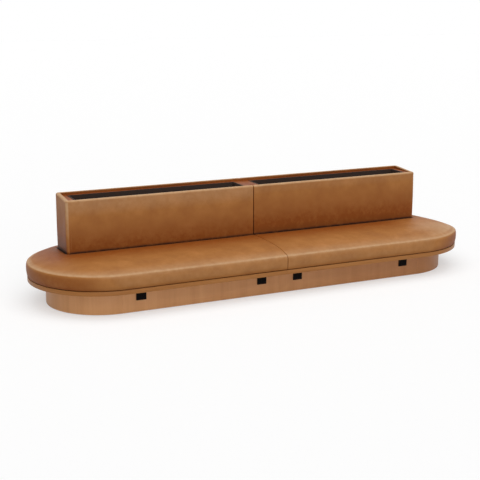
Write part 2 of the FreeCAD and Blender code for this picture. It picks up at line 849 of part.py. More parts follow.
def shared_nodes():
    """Fittings that both modules share, by name."""
    return {
        "seat_screws": both_modules(seat_screws()),
        "back_brackets": both_modules(back_brackets()),
        "bracket_screws": both_modules(bracket_screws()),
        "joint_bolts": joint_bolts(),
        "joint_nuts": joint_nuts(),
        "joint_washers": joint_washers(),
        "outlet_plates": outlets(outlet_plate),
        "outlet_inserts": outlets(outlet_insert),
        "outlet_boxes": outlets(outlet_box),
        "outlet_screws": [screw for pair in outlets(outlet_screws_at) for screw in pair],
        "wiring_conduits": wiring_conduits(),
        "power_inlet": power_inlet(),
        "inlet_screws": inlet_screws(),
    }


def export(name, pieces):
    """Writes one node, after looking that each of its solids is closed and whole."""
    shapes = pieces if isinstance(pieces, list) else [pieces]
    solids = [solid for shape in shapes for solid in shape.Solids]
    for solid in solids:
        if not solid.isValid() or solid.Volume <= 0:
            raise ValueError(name + " has a broken solid")
    node = solids[0] if len(solids) == 1 else Part.makeCompound(solids)
    node.exportStep("parts/" + name + ".step")
    print(name, len(solids), "solids, volume", round(sum(solid.Volume for solid in solids)))


def main():
    os.makedirs("parts", exist_ok=True)
    right = module_nodes()
    for name, pieces in right.items():
        as_list = pieces if isinstance(pieces, list) else [pieces]
        export("left_" + name, [mirrored(shape) for shape in as_list])
        if name == "plinth_rear_panel":
            export("right_" + name, right_plinth_rear_panel())
        else:
            export("right_" + name, as_list)
    for name, pieces in shared_nodes().items():
        export(name, pieces)


main()
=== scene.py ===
"""The look of the island banquette: leather covers, timber, planter liners, fittings, studio and camera.

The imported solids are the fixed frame. Each class below dresses one sub-assembly of the bench, in metres and
in the solids' own axes: X along the bench, the front towards -Y, and the floor at zero. The two modules'
covers press against each other at X = 0, with a rounded groove between them.
"""

import logging
import math
from dataclasses import dataclass, field
from enum import Enum
from functools import partial
from typing import Any, Callable, Iterable, Sequence

import bmesh
import bpy
import numpy as np
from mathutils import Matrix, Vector, noise


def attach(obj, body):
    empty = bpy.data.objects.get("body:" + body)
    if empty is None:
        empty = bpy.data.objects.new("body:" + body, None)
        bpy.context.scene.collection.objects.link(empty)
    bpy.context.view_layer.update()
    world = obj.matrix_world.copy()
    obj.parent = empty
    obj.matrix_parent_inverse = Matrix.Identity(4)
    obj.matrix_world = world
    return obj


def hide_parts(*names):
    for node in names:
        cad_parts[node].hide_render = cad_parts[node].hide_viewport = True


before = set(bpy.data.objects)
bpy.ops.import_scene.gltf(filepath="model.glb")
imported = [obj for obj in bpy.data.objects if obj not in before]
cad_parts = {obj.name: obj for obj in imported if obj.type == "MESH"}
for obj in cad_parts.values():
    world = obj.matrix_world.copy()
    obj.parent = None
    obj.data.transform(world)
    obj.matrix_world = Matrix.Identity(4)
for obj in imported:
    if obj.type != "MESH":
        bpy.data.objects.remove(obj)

log = logging.getLogger("banquette")
MM = 0.001
FIRM = 0.75  # a point held more firmly than this keeps its place


class Side(Enum):
    """The two modules of the bench, by the sign of their X."""

    LEFT = -1
    RIGHT = 1

    @property
    def label(self) -> str:
        """The word that the solids' names start with."""
        return self.name.lower()

    def node(self, piece: str) -> str:
        """The solid's name for a piece of this module."""
        return f"{self.label}_{piece}"


class GrainRun(Enum):
    """Which way a timber's grain runs, as axes of the unrolled coordinate: along, through, up."""

    UPRIGHT = (1.0, 1.0, 0.03)
    LENGTHWISE = (0.03, 1.0, 1.0)


@dataclass(frozen=True)
class BenchPlan:
    """Sizes that the dressing shares with the solids."""

    joint: float = 0.0005
    straight_end: float = 1.535
    seat_radius: float = 0.690
    back_end: float = 1.859
    back_front: float = 0.026
    back_rear: float = 0.375
    board_top: float = 0.272
    cushion_edge: float = 0.402
    crown_rise: float = 0.048
    roll_inset: float = 0.044
    wall_front_top: float = 0.928
    wall_rear_top: float = 0.951
    front_board: float = 0.043
    rear_board: float = 0.355
    end_board: float = 1.834
    trough_front: float = 0.058
    trough_rear: float = 0.340
    trough_end: float = 1.819

    def edge_distance(self, x: float, y: float) -> float:
        """How far a point of the plan lies inside the seat's outline.

        Args:
            x: Distance along the bench from the joint, never negative.
            y: Distance towards the rear.

        Returns:
            The distance to the outline in metres.
        """
        if x <= self.straight_end:
            return self.seat_radius - abs(y)
        return self.seat_radius - math.hypot(x - self.straight_end, y)

    def wall_top(self, y: float) -> float:
        """Height of the backrest's padded top at one depth, which slopes along the end wall."""
        share = (y - self.trough_front) / (self.trough_rear - self.trough_front)
        return self.wall_front_top + (self.wall_rear_top - self.wall_front_top) * min(1.0, max(0.0, share))

    def back_corner(self, side: Side, face: int) -> float:
        """Radius in plan of a backrest cover's upright corner.

        Args:
            side: The module.
            face: -1 for the corner in front, 1 for the one behind.

        Returns:
            The radius in metres; the right module's cover is drawn tight in front and round behind. It must
            be more than the cover's roll and face crown together, or the corner's points fall together.
        """
        if side is Side.LEFT:
            return 0.030
        return 0.024 if face < 0 else 0.055

    def unrolled(self, point: Vector) -> tuple[float, float, float]:
        """Distance along the bench's outline, distance from its middle, and height."""
        x = abs(point.x)
        way = 1.0 if point.x >= 0 else -1.0
        if x <= self.straight_end:
            return (point.x, point.y, point.z)
        angle = math.atan2(x - self.straight_end, abs(point.y))
        reach = math.hypot(x - self.straight_end, point.y)
        near = -1.0 if point.y < 0 else 1.0
        return (way * (self.straight_end + angle * 0.6), near * reach, point.z)


PLAN = BenchPlan()


# Small shared tools

def linear(colour: str) -> tuple[float, float, float, float]:
    """Turns an sRGB hex colour into the linear values that a shader reads.

    Args:
        colour: Six hex digits after a hash sign.

    Returns:
        Red, green, blue and an alpha of one.
    """
    parts = [int(colour[k:k + 2], 16) / 255 for k in (1, 3, 5)]
    made = [c / 12.92 if c <= 0.04045 else ((c + 0.055) / 1.055) ** 2.4 for c in parts]
    return (made[0], made[1], made[2], 1.0)


def add_node(tree: bpy.types.NodeTree, kind: str, feeds: dict[Any, Any] | None = None,
             **settings: Any) -> bpy.types.Node:
    """Adds a node with its settings, and gives its inputs a value or a link each.

    Args:
        tree: The shader or geometry tree.
        kind: The node's type name.
        feeds: A value or an output socket for each input, by name or number.
        **settings: The node's own properties.

    Returns:
        The new node.
    """
    node = tree.nodes.new(kind)
    for name, value in settings.items():
        setattr(node, name, value)
    for key, value in (feeds or {}).items():
        if isinstance(value, bpy.types.NodeSocket):
            tree.links.new(value, node.inputs[key])
        else:
            node.inputs[key].default_value = value
    return node


def smooth_step(value: float) -> float:
    """Rises smoothly from zero to one."""
    t = min(1.0, max(0.0, value))
    return t * t * (3 - 2 * t)


def add_object(name: str, mesh: bpy.types.Mesh) -> bpy.types.Object:
    """Puts a mesh into the scene as an object at the origin."""
    piece = bpy.data.objects.new(name, mesh)
    bpy.context.scene.collection.objects.link(piece)
    return piece


def bake(piece: bpy.types.Object) -> None:
    """Turns a piece's modifiers into its plain mesh."""
    bpy.context.view_layer.update()
    made = bpy.data.meshes.new_from_object(piece.evaluated_get(bpy.context.evaluated_depsgraph_get()))
    piece.modifiers.clear()
    piece.data = made


def shade(piece: bpy.types.Object, finish: bpy.types.Material, sharp_degrees: float | None = None) -> None:
    """Gives a piece its finish and smooth shading, with sharp edges past an angle if one is given."""
    piece.data.materials.clear()
    piece.data.materials.append(finish)
    piece.data.shade_smooth()
    if sharp_degrees is not None:
        piece.data.set_sharp_from_angle(angle=math.radians(sharp_degrees))


def settle(piece: bpy.types.Object, body: str, nodes: Iterable[str]) -> None:
    """Ties a finished piece to its body and the solids that it stands for.

    Args:
        piece: The finished object.
        body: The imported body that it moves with.
        nodes: Solids that it stands for.
    """
    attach(piece, body)
    names = list(nodes)
    if names:
        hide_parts(*names)
    log.info("%s: %d faces on %s, for %s", piece.name, len(piece.data.polygons), body,
             ", ".join(names) or "itself")


def set_grain(piece: bpy.types.Object) -> None:
    """Stores the unrolled coordinate at each point, so that a grain follows the bench's rounded ends."""
    data = piece.data.attributes.new("grain", "FLOAT_VECTOR", "POINT").data
    values = [part for vertex in piece.data.vertices for part in PLAN.unrolled(vertex.co)]
    data.foreach_set("vector", values)


def eased_copy(node: str, ease: float, name: str, segments: int, angle: float = 28.0) -> bpy.types.Object:
    """Copies a solid's mesh and eases its hard edges, as sanding or moulding leaves them.

    Args:
        node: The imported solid.
        ease: Width of the eased edge.
        name: The new piece's name.
        segments: Faces across an eased edge.
        angle: Edges sharper than this many degrees are eased.

    Returns:
        The new piece.
    """
    work = bmesh.new()
    work.from_mesh(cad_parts[node].data)
    bmesh.ops.remove_doubles(work, verts=work.verts, dist=2e-5)
    bmesh.ops.dissolve_limit(work, angle_limit=math.radians(0.4), verts=work.verts, edges=work.edges)
    mesh = bpy.data.meshes.new(name)
    work.to_mesh(mesh)
    work.free()
    piece = add_object(mesh.name, mesh)
    bevel = piece.modifiers.new("eased edges", "BEVEL")
    bevel.width = ease
    bevel.segments = segments
    bevel.limit_method = "ANGLE"
    bevel.angle_limit = math.radians(angle)
    bake(piece)
    return piece


# Finishes

@dataclass(frozen=True)
class Finish:
    """A finish, whose material is built once and then shared."""

    name: str

    def material(self) -> bpy.types.Material:
        """The finish's material, made on its first use."""
        found = bpy.data.materials.get(self.name)
        if found:
            return found
        made = bpy.data.materials.new(self.name)
        made.use_nodes = True
        made.node_tree.nodes.clear()
        shader = self.paint(made.node_tree)
        add_node(made.node_tree, "ShaderNodeOutputMaterial", {"Surface": shader})
        return made

    def paint(self, tree: bpy.types.NodeTree) -> bpy.types.NodeSocket:
        """Builds the nodes and gives the surface's socket back."""
        raise NotImplementedError


def scaled_place(tree: bpy.types.NodeTree, scale: Sequence[float]) -> bpy.types.NodeSocket:
    """The piece's own coordinates, stretched."""
    place = add_node(tree, "ShaderNodeTexCoord").outputs["Object"]
    return add_node(tree, "ShaderNodeMapping", {"Vector": place, "Scale": tuple(scale)}).outputs[0]


def tones(tree: bpy.types.NodeTree, factor: bpy.types.NodeSocket,
          stops: Sequence[tuple[float, str]]) -> bpy.types.NodeSocket:
    """Turns a pattern into colours through a ramp of sRGB tones."""
    ramp = add_node(tree, "ShaderNodeValToRGB", {0: factor})
    while len(ramp.color_ramp.elements) < len(stops):
        ramp.color_ramp.elements.new(0.5)
    for element, (place, colour) in zip(ramp.color_ramp.elements, stops):
        element.position = place
        element.color = linear(colour)
    return ramp.outputs[0]


@dataclass(frozen=True)
class WaxedLeather(Finish):
    """Tan aniline leather with a light wax: cloudy colour, lighter where it is stretched over an edge, with
    painted highlight and painted shade.
    """

    dark: str = "#965F2E"
    middle: str = "#A26A34"
    light: str = "#AE743D"
    # A lighter tone for stretched edges that also carries painted highlights; then painted shade, and painted
    # shadow for creases and the joint groove.
    stretched: str = "#BC966F"
    handled: str = "#82430E"
    creased: str = "#2E1508"
    cloud_size: float = 0.19
    blotch_size: float = 0.045
    crease_size: float = 0.024
    pebble_size: float = 0.0022

    def paint(self, tree: bpy.types.NodeTree) -> bpy.types.NodeSocket:
        """Colour clouds of 190 and 45 mm, hide creases of 24 mm, and a pebble drawn at 2.2 mm.

        The real pebble is about 0.8 mm and wouldn't show at the render's scale.
        """
        place = scaled_place(tree, (1, 1, 1))
        cloud = add_node(tree, "ShaderNodeTexNoise", {
            "Vector": place, "Scale": 1 / self.cloud_size, "Detail": 3.0, "Roughness": 0.55}).outputs[0]
        blotch = add_node(tree, "ShaderNodeTexNoise", {
            "Vector": place, "Scale": 1 / self.blotch_size, "Detail": 4.0, "Roughness": 0.6}).outputs[0]
        both = add_node(tree, "ShaderNodeMath", {0: blotch, 1: 0.35, 2: cloud},
                        operation="MULTIPLY_ADD").outputs[0]
        cloudy = add_node(tree, "ShaderNodeMapRange", {0: both, 1: 0.42, 2: 0.95}).outputs[0]
        colour = tones(tree, cloudy, ((0.0, self.dark), (0.5, self.middle), (1.0, self.light)))
        # The stored value paints light: above nought toward the lighter tone, below nought painted shade,
        # below minus one painted crease shadow.
        wear = add_node(tree, "ShaderNodeAttribute", attribute_name="wear").outputs["Fac"]
        uneven = add_node(tree, "ShaderNodeMapRange", {0: blotch, 1: 0.3, 2: 0.7, 3: 0.75, 4: 1.25}).outputs[0]
        for sign, past, tone in ((1.0, 0.0, self.stretched), (-1.0, 0.0, self.handled),
                                 (-1.0, -1.0, self.creased)):
            part = add_node(tree, "ShaderNodeMath", {0: wear, 1: sign, 2: past}, operation="MULTIPLY_ADD",
                            use_clamp=True).outputs[0]
            part = add_node(tree, "ShaderNodeMath", {0: part, 1: uneven}, operation="MULTIPLY",
                            use_clamp=True).outputs[0]
            colour = add_node(tree, "ShaderNodeMix", {0: part, 6: colour, 7: linear(tone)},
                              data_type="RGBA").outputs[2]
        bent = add_node(tree, "ShaderNodeTexNoise", {"Vector": place, "Scale": 30.0}).outputs[1]
        bent_place = add_node(tree, "ShaderNodeVectorMath", {0: bent, 1: (0.02, 0.02, 0.02), 2: place},
                              operation="MULTIPLY_ADD").outputs[0]
        crease = add_node(tree, "ShaderNodeTexVoronoi", {"Vector": bent_place, "Scale": 1 / self.crease_size},
                          feature="DISTANCE_TO_EDGE").outputs["Distance"]
        crease_height = add_node(tree, "ShaderNodeMapRange", {0: crease, 2: 0.12}).outputs[0]
        pebble = add_node(tree, "ShaderNodeTexVoronoi", {"Vector": place, "Scale": 1 / self.pebble_size},
                          feature="SMOOTH_F1").outputs["Distance"]
        relief = add_node(tree, "ShaderNodeBump", {"Height": crease_height, "Distance": 0.00022}).outputs[0]
        relief = add_node(tree, "ShaderNodeBump", {
            "Height": pebble, "Distance": 0.00022, "Normal": relief}).outputs[0]
        gloss = add_node(tree, "ShaderNodeMapRange", {
            0: both, 1: 0.45, 2: 0.95, 3: 0.58, 4: 0.48}).outputs[0]
        return add_node(tree, "ShaderNodeBsdfPrincipled", {
            "Base Color": colour, "Roughness": gloss, "Normal": relief,
            "Specular IOR Level": 0.22}).outputs[0]


@dataclass(frozen=True)
class BondedThread(Finish):
    """Bonded polyester sewing thread, a shade lighter than the leather, with the twist of its plies."""

    light: str = "#B98655"
    dark: str = "#8E5F37"

    def paint(self, tree: bpy.types.NodeTree) -> bpy.types.NodeSocket:
        """Bands at the twist of a heavy thread, about 1.5 mm a turn."""
        twist = add_node(tree, "ShaderNodeTexWave", {
            "Vector": scaled_place(tree, (1, 1, 1)), "Scale": 210.0, "Distortion": 1.5},
            bands_direction="DIAGONAL").outputs[1]
        colour = tones(tree, twist, ((0.0, self.dark), (1.0, self.light)))
        return add_node(tree, "ShaderNodeBsdfPrincipled", {"Base Color": colour, "Roughness": 0.6}).outputs[0]


@dataclass(frozen=True)
class LacqueredTimber(Finish):
    """Timber or veneer under a satin lacquer, with fine streaks along the grain and broad tonal bands."""

    light: str = "#E9AE78"
    middle: str = "#E2A670"
    dark: str = "#D99D67"
    # Colour multiplied in toward the bench's right end as painted shade; white leaves the colour unchanged.
    faded: str = "#FFFFFF"
    shine: float = 0.35
    run: GrainRun = GrainRun.UPRIGHT
    streak: float = 0.006
    band: float = 0.09
    pore_depth: float = 0.00008
    satin: float = 0.42

    def paint(self, tree: bpy.types.NodeTree) -> bpy.types.NodeSocket:
        """Streaks of 5 to 7 mm and bands of 50 to 90 mm, on the coordinate that follows the rounded ends."""
        place = add_node(tree, "ShaderNodeAttribute", attribute_name="grain").outputs["Vector"]
        streaks = add_node(tree, "ShaderNodeMapping", {
            "Vector": place, "Scale": tuple(share / self.streak for share in self.run.value)}).outputs[0]
        bands = add_node(tree, "ShaderNodeMapping", {
            "Vector": place, "Scale": tuple(share / self.band for share in self.run.value)}).outputs[0]
        fine = add_node(tree, "ShaderNodeTexNoise", {"Vector": streaks, "Scale": 1.0, "Detail": 5.0,
                                                     "Roughness": 0.65}).outputs[0]
        broad = add_node(tree, "ShaderNodeTexNoise", {"Vector": bands, "Scale": 1.0, "Detail": 2.0,
                                                      "Distortion": 0.6}).outputs[0]
        mixed = add_node(tree, "ShaderNodeMath", {0: fine, 1: 0.55, 2: broad},
                         operation="MULTIPLY_ADD").outputs[0]
        figure = add_node(tree, "ShaderNodeMapRange", {0: mixed, 1: 0.5, 2: 1.05}).outputs[0]
        colour = tones(tree, figure, ((0.0, self.dark), (0.5, self.middle), (1.0, self.light)))
        # Painted shade: darker along X toward the right end, as the light falls off.
        along = add_node(tree, "ShaderNodeSeparateXYZ", {0: place}).outputs[0]
        along = add_node(tree, "ShaderNodeMapRange", {0: along, 1: -2.2, 2: 2.2}).outputs[0]
        painted_light_falloff = tones(tree, along, ((0.0, "#FFFFFF"), (1.0, self.faded)))
        colour = add_node(tree, "ShaderNodeMix", {0: 1.0, 6: colour, 7: painted_light_falloff}, data_type="RGBA",
                          blend_type="MULTIPLY").outputs[2]
        gloss = add_node(tree, "ShaderNodeMapRange", {
            0: fine, 1: 0.3, 2: 0.7, 3: self.satin + 0.06, 4: self.satin - 0.04}).outputs[0]
        relief = add_node(tree, "ShaderNodeBump", {"Height": fine, "Distance": self.pore_depth}).outputs[0]
        return add_node(tree, "ShaderNodeBsdfPrincipled", {
            "Base Color": colour, "Roughness": gloss, "Normal": relief,
            "Specular IOR Level": self.shine}).outputs[0]


@dataclass(frozen=True)
class BirchPly(Finish):
    """Birch plywood, sanded and left bare, with its plies as thin bands up the sheet."""

    light: str = "#C9A877"
    dark: str = "#A98556"
    ply: float = 0.0015

    def paint(self, tree: bpy.types.NodeTree) -> bpy.types.NodeSocket:
        """Fibres of 3 mm by 90 mm over soft plies of 1.5 mm."""
        fibre = add_node(tree, "ShaderNodeTexNoise", {
            "Vector": scaled_place(tree, (11, 330, 330)), "Scale": 1.0, "Detail": 4.0}).outputs[0]
        plies = add_node(tree, "ShaderNodeTexWave", {"Vector": scaled_place(tree, (1, 1, 1)),
                                                     "Scale": 0.31 / self.ply, "Distortion": 0.4},
                         bands_direction="Z").outputs[1]
        mixed = add_node(tree, "ShaderNodeMath", {0: plies, 1: 0.2, 2: fibre},
                         operation="MULTIPLY_ADD").outputs[0]
        figure = add_node(tree, "ShaderNodeMapRange", {0: mixed, 1: 0.3, 2: 0.9}).outputs[0]
        colour = tones(tree, figure, ((0.0, self.dark), (1.0, self.light)))
        relief = add_node(tree, "ShaderNodeBump", {"Height": fibre, "Distance": 0.0001}).outputs[0]
        return add_node(tree, "ShaderNodeBsdfPrincipled", {
            "Base Color": colour, "Roughness": 0.7, "Normal": relief}).outputs[0]


@dataclass(frozen=True)
class PowderCoat(Finish):
    """Sheet steel under a matt powder coat, with the fine peel that such a coat cures with."""

    tone: str = "#21120A"
    dust: str = "#301D10"
    peel: float = 0.003

    def paint(self, tree: bpy.types.NodeTree) -> bpy.types.NodeSocket:
        """A peel of 3 mm, and dust in patches of 60 mm."""
        peel = add_node(tree, "ShaderNodeTexNoise", {"Vector": scaled_place(tree, (1, 1, 1)),
                                                     "Scale": 1 / self.peel, "Detail": 2.0}).outputs[0]
        patch = add_node(tree, "ShaderNodeTexNoise", {"Vector": scaled_place(tree, (1, 1, 1)), "Scale": 17.0,
                                                      "Detail": 4.0}).outputs[0]
        dusty = add_node(tree, "ShaderNodeMapRange", {0: patch, 1: 0.45, 2: 0.75}).outputs[0]
        colour = tones(tree, dusty, ((0.0, self.tone), (1.0, self.dust)))
        gloss = add_node(tree, "ShaderNodeMapRange", {0: patch, 1: 0.3, 2: 0.7, 3: 0.66, 4: 0.78}).outputs[0]
        relief = add_node(tree, "ShaderNodeBump", {"Height": peel, "Distance": 0.00012}).outputs[0]
        return add_node(tree, "ShaderNodeBsdfPrincipled", {
            "Base Color": colour, "Roughness": gloss, "Specular IOR Level": 0.25,
            "Normal": relief}).outputs[0]


@dataclass(frozen=True)
class MouldedPlastic(Finish):
    """An injection-moulded plastic with the fine spark texture of its mould."""

    tone: str = "#060302"
    scuff: str = "#0E0805"
    roughness: float = 0.7

    def paint(self, tree: bpy.types.NodeTree) -> bpy.types.NodeSocket:
        """A spark texture drawn at 1 mm; the real one is about 0.1 mm."""
        spark = add_node(tree, "ShaderNodeTexNoise", {
            "Vector": scaled_place(tree, (1, 1, 1)), "Scale": 1000.0, "Detail": 2.0}).outputs[0]
        scuffs = add_node(tree, "ShaderNodeTexNoise", {
            "Vector": scaled_place(tree, (1, 1, 1)), "Scale": 60.0, "Detail": 5.0}).outputs[0]
        scuffed = add_node(tree, "ShaderNodeMapRange", {0: scuffs, 1: 0.5, 2: 0.8}).outputs[0]
        colour = tones(tree, scuffed, ((0.0, self.tone), (1.0, self.scuff)))
        gloss = add_node(tree, "ShaderNodeMapRange", {
            0: scuffs, 1: 0.3, 2: 0.7, 3: self.roughness - 0.05, 4: self.roughness + 0.08}).outputs[0]
        relief = add_node(tree, "ShaderNodeBump", {"Height": spark, "Distance": 0.00004}).outputs[0]
        return add_node(tree, "ShaderNodeBsdfPrincipled", {
            "Base Color": colour, "Roughness": gloss, "Specular IOR Level": 0.08,
            "Normal": relief}).outputs[0]


@dataclass(frozen=True)
class ZincPlate(Finish):
    """Steel with a clear zinc plating, which is greyish, cloudy and half bright."""

    bright: str = "#C4C6C8"
    dull: str = "#9EA1A3"

    def paint(self, tree: bpy.types.NodeTree) -> bpy.types.NodeSocket:
        """Spangle clouds of 8 mm with finer handling marks."""
        spangle = add_node(tree, "ShaderNodeTexNoise", {
            "Vector": scaled_place(tree, (1, 1, 1)), "Scale": 125.0, "Detail": 5.0}).outputs[0]
        clear = add_node(tree, "ShaderNodeMapRange", {0: spangle, 1: 0.35, 2: 0.65}).outputs[0]
        colour = tones(tree, clear, ((0.0, self.dull), (1.0, self.bright)))
        gloss = add_node(tree, "ShaderNodeMapRange", {
            0: spangle, 1: 0.3, 2: 0.7, 3: 0.42, 4: 0.28}).outputs[0]
        relief = add_node(tree, "ShaderNodeBump", {"Height": spangle, "Distance": 0.00003}).outputs[0]
        return add_node(tree, "ShaderNodeBsdfPrincipled", {
            "Base Color": colour, "Metallic": 1.0, "Roughness": gloss, "Normal": relief}).outputs[0]


def seen_rays(tree: bpy.types.NodeTree) -> bpy.types.NodeSocket:
    """One for the camera's, mirrors' and glass's rays, and nought for the light that falls on the bench."""
    path = add_node(tree, "ShaderNodeLightPath").outputs
    seen = path["Is Camera Ray"]
    for ray in ("Is Glossy Ray", "Is Transmission Ray"):
        seen = add_node(tree, "ShaderNodeMath", {0: seen, 1: path[ray]}, operation="ADD",
                        use_clamp=True).outputs[0]
    return seen


@dataclass(frozen=True)
class StudioPaper(Finish):
    """The studio's seamless white paper, which keeps the bench's soft shadow."""

    tone: str = "#C0C0C0"
    lift: float = 0.48

    def paint(self, tree: bpy.types.NodeTree) -> bpy.types.NodeSocket:
        """Matt paper with a faint tooth, lifted to white for the camera and for mirror rays alone."""
        tooth = add_node(tree, "ShaderNodeTexNoise", {"Vector": scaled_place(tree, (1, 1, 1)), "Scale": 300.0,
                                                      "Detail": 2.0}).outputs[0]
        relief = add_node(tree, "ShaderNodeBump", {"Height": tooth, "Distance": 0.0001}).outputs[0]
        paper = add_node(tree, "ShaderNodeBsdfPrincipled", {
            "Base Color": linear(self.tone), "Roughness": 0.9, "Specular IOR Level": 0.1,
            "Normal": relief}).outputs[0]
        strength = add_node(tree, "ShaderNodeMath", {0: seen_rays(tree), 1: self.lift},
                            operation="MULTIPLY").outputs[0]
        glow = add_node(tree, "ShaderNodeEmission", {"Color": (1, 1, 1, 1), "Strength": strength}).outputs[0]
        return add_node(tree, "ShaderNodeAddShader", {0: paper, 1: glow}).outputs[0]


LEATHER = WaxedLeather("tan waxed aniline leather")
THREAD = BondedThread("bonded polyester thread")
# The plinth's veneer gets painted shade toward the bench's right end.
PLINTH_VENEER = LacqueredTimber("lacquered plinth veneer", faded="#C6B4A6")
DECK_TIMBER = LacqueredTimber("lacquered deck lipping", light="#A56D35", middle="#9D652D", dark="#935B27",
                              run=GrainRun.LENGTHWISE, streak=0.005, band=0.05)
LEDGE_TIMBER = LacqueredTimber("stained planter ledge", light="#985521", middle="#864515", dark="#6E360F",
                               shine=0.2, run=GrainRun.LENGTHWISE, streak=0.007, band=0.05, satin=0.5)
STAINED_EDGE = LacqueredTimber("stained seat board edge", light="#6A3F1C", middle="#5A3312", dark="#4A290E",
                               shine=0.2, run=GrainRun.LENGTHWISE, satin=0.6)
PLY = BirchPly("bare birch plywood")
LINER_COAT = PowderCoat("powder-coated liner steel")
OUTLET_PLASTIC = MouldedPlastic("moulded black polycarbonate")
GLIDE_PLASTIC = MouldedPlastic("moulded nylon glide", tone="#1C1B1A", scuff="#3A3836", roughness=0.55)
CONDUIT_PLASTIC = MouldedPlastic("rigid vinyl conduit", tone="#C9C9C4", scuff="#B4B3AC", roughness=0.4)
ZINC = ZincPlate("zinc-plated steel")
PAPER = StudioPaper("white studio paper")


# Padding

CLOSE_STEPS = 5
FAR_FROM_JOINT = 9.0
LAST_CLOTH_FRAME = 20
FOAM_CLOTH: dict[str, float] = {
    "quality": 6, "mass": 0.4, "tension_stiffness": 30, "compression_stiffness": 30, "shear_stiffness": 12,
    "bending_stiffness": 4}


@dataclass
class Ring:
    """One ring of a cover's points, with how firmly each is held and its painted light and rubbing."""

    points: list[Vector] = field(default_factory=list)
    held: list[float] = field(default_factory=list)
    wear: list[float] = field(default_factory=list)

    def add(self, point: Vector, held: float = 1.0, wear: float = 0.0) -> None:
        """Adds one point."""
        self.points.append(point)
        self.held.append(held)
        self.wear.append(wear)


@dataclass
class PaddedSkin:
    """A closed cover made of rings of points, one ring for each station along the bench."""

    name: str
    side: Side
    rings: list[Ring]

    @property
    def rows(self) -> int:
        """How many points a ring has."""
        return len(self.rings[0].points)

    @property
    def held(self) -> list[float]:
        """How firmly each point is held, ring by ring."""
        return [firm for ring in self.rings for firm in ring.held]

    def build(self) -> bpy.types.Object:
        """Joins the rings into a tube on its own side of the joint, open at both joint ends."""
        rows = self.rows
        points = [(p.x * self.side.value, p.y, p.z) for ring in self.rings for p in ring.points]
        faces = []
        for near in range(0, (len(self.rings) - 1) * rows, rows):
            far = near + rows
            for row in range(rows):
                after = (row + 1) % rows
                faces.append((near + row, far + row, far + after, near + after))
        mesh = bpy.data.meshes.new(self.name)
        mesh.from_pydata(points, [], faces)
        turn_outwards(mesh)
        return add_object(self.name, mesh)

    def dress(self, piece: bpy.types.Object) -> None:
        """Stores the painted light and rubbing on the swollen cover, smooths it and gives it its leather.

        Args:
            piece: The cover that build() made.
        """
        wear = [light_and_wear_value for ring in self.rings for light_and_wear_value in ring.wear]
        piece.data.attributes.new("wear", "FLOAT", "POINT").data.foreach_set("value", wear)
        refine(piece)
        shade(piece, LEATHER.material(), 50)


def turn_outwards(mesh: bpy.types.Mesh, cap: bool = False) -> None:
    """Turns a mesh's faces outwards, and closes its open ends first if asked."""
    work = bmesh.new()
    work.from_mesh(mesh)
    if cap:
        bmesh.ops.holes_fill(work, edges=[edge for edge in work.edges if edge.is_boundary], sides=0)
    bmesh.ops.recalc_face_normals(work, faces=work.faces)
    work.to_mesh(mesh)
    work.free()


def plump(piece: bpy.types.Object, held: Sequence[float], pressure: float, cap: float) -> None:
    """Swells a cover over its foam with a cloth simulation, and keeps the result in its mesh.

    Args:
        piece: The cover.
        held: For each point, how firmly it is held, from zero to one.
        pressure: Air pressure inside.
        cap: The limit that a point's movement eases towards.

    Raises:
        RuntimeError: The cloth did not move at all.
    """
    group = piece.vertex_groups.new(name="held")
    for index, weight in enumerate(held):
        if weight > 0:
            group.add([index], weight, "REPLACE")
    cloth = piece.modifiers.new("foam under the cover", "CLOTH")
    for name, value in FOAM_CLOTH.items():
        setattr(cloth.settings, name, value)
    cloth.settings.use_pressure = True
    cloth.settings.uniform_pressure_force = pressure
    cloth.settings.vertex_group_mass = "held"
    cloth.settings.effector_weights.gravity = 0
    cloth.collision_settings.use_collision = False
    scene = bpy.context.scene
    for step in range(1, LAST_CLOTH_FRAME + 1):
        scene.frame_set(step)
    swollen = piece.evaluated_get(bpy.context.evaluated_depsgraph_get()).to_mesh()
    before = np.empty(len(piece.data.vertices) * 3)
    after = np.empty_like(before)
    piece.data.vertices.foreach_get("co", before)
    swollen.vertices.foreach_get("co", after)
    move = (after - before).reshape(-1, 3)
    length = np.linalg.norm(move, axis=1)
    if length.max() < 0.1 * MM:
        raise RuntimeError(f"{piece.name}: the cloth did not move; two of its points may fall together")
    move *= (cap * np.tanh(length / cap) / np.maximum(length, 1e-9))[:, None]
    log.info("%s swelled by %.1f mm at most and %.1f mm on average, eased below %.1f mm", piece.name,
             length.max() * 1000, length.mean() * 1000, cap * 1000)
    piece.data.vertices.foreach_set("co", (before.reshape(-1, 3) + move).ravel())
    piece.modifiers.clear()
    piece.vertex_groups.clear()
    scene.frame_set(1)
    piece.data.update()


def runs_from_joint(length: float, close_width: float, pitch: float) -> list[float]:
    """Distances from the joint along a cover.

    Args:
        length: How far they reach.
        close_width: Width of the cover's rounded edge at the joint, where they lie close together.
        pitch: The even step past it.

    Returns:
        The distances, from nought up.
    """
    close = [close_width * (1 - math.cos(k * math.pi / 2 / CLOSE_STEPS)) for k in range(CLOSE_STEPS + 1)]
    count = round((length - close[-1]) / pitch)
    return close + [close[-1] + (length - close[-1]) * k / count for k in range(1, count + 1)]


def joint_sink(distance: float, width: float, depth: float) -> float:
    """How far a cover's edge is rounded off at a distance from the joint.

    Args:
        distance: Distance from the joint.
        width: Width of the rounding.
        depth: Its depth right at the joint.

    Returns:
        The depth in metres, nought past the rounding's width.
    """
    share = 1 - min(distance, width) / width
    return depth * (1 - math.sqrt(max(0.0, 1 - share * share)))


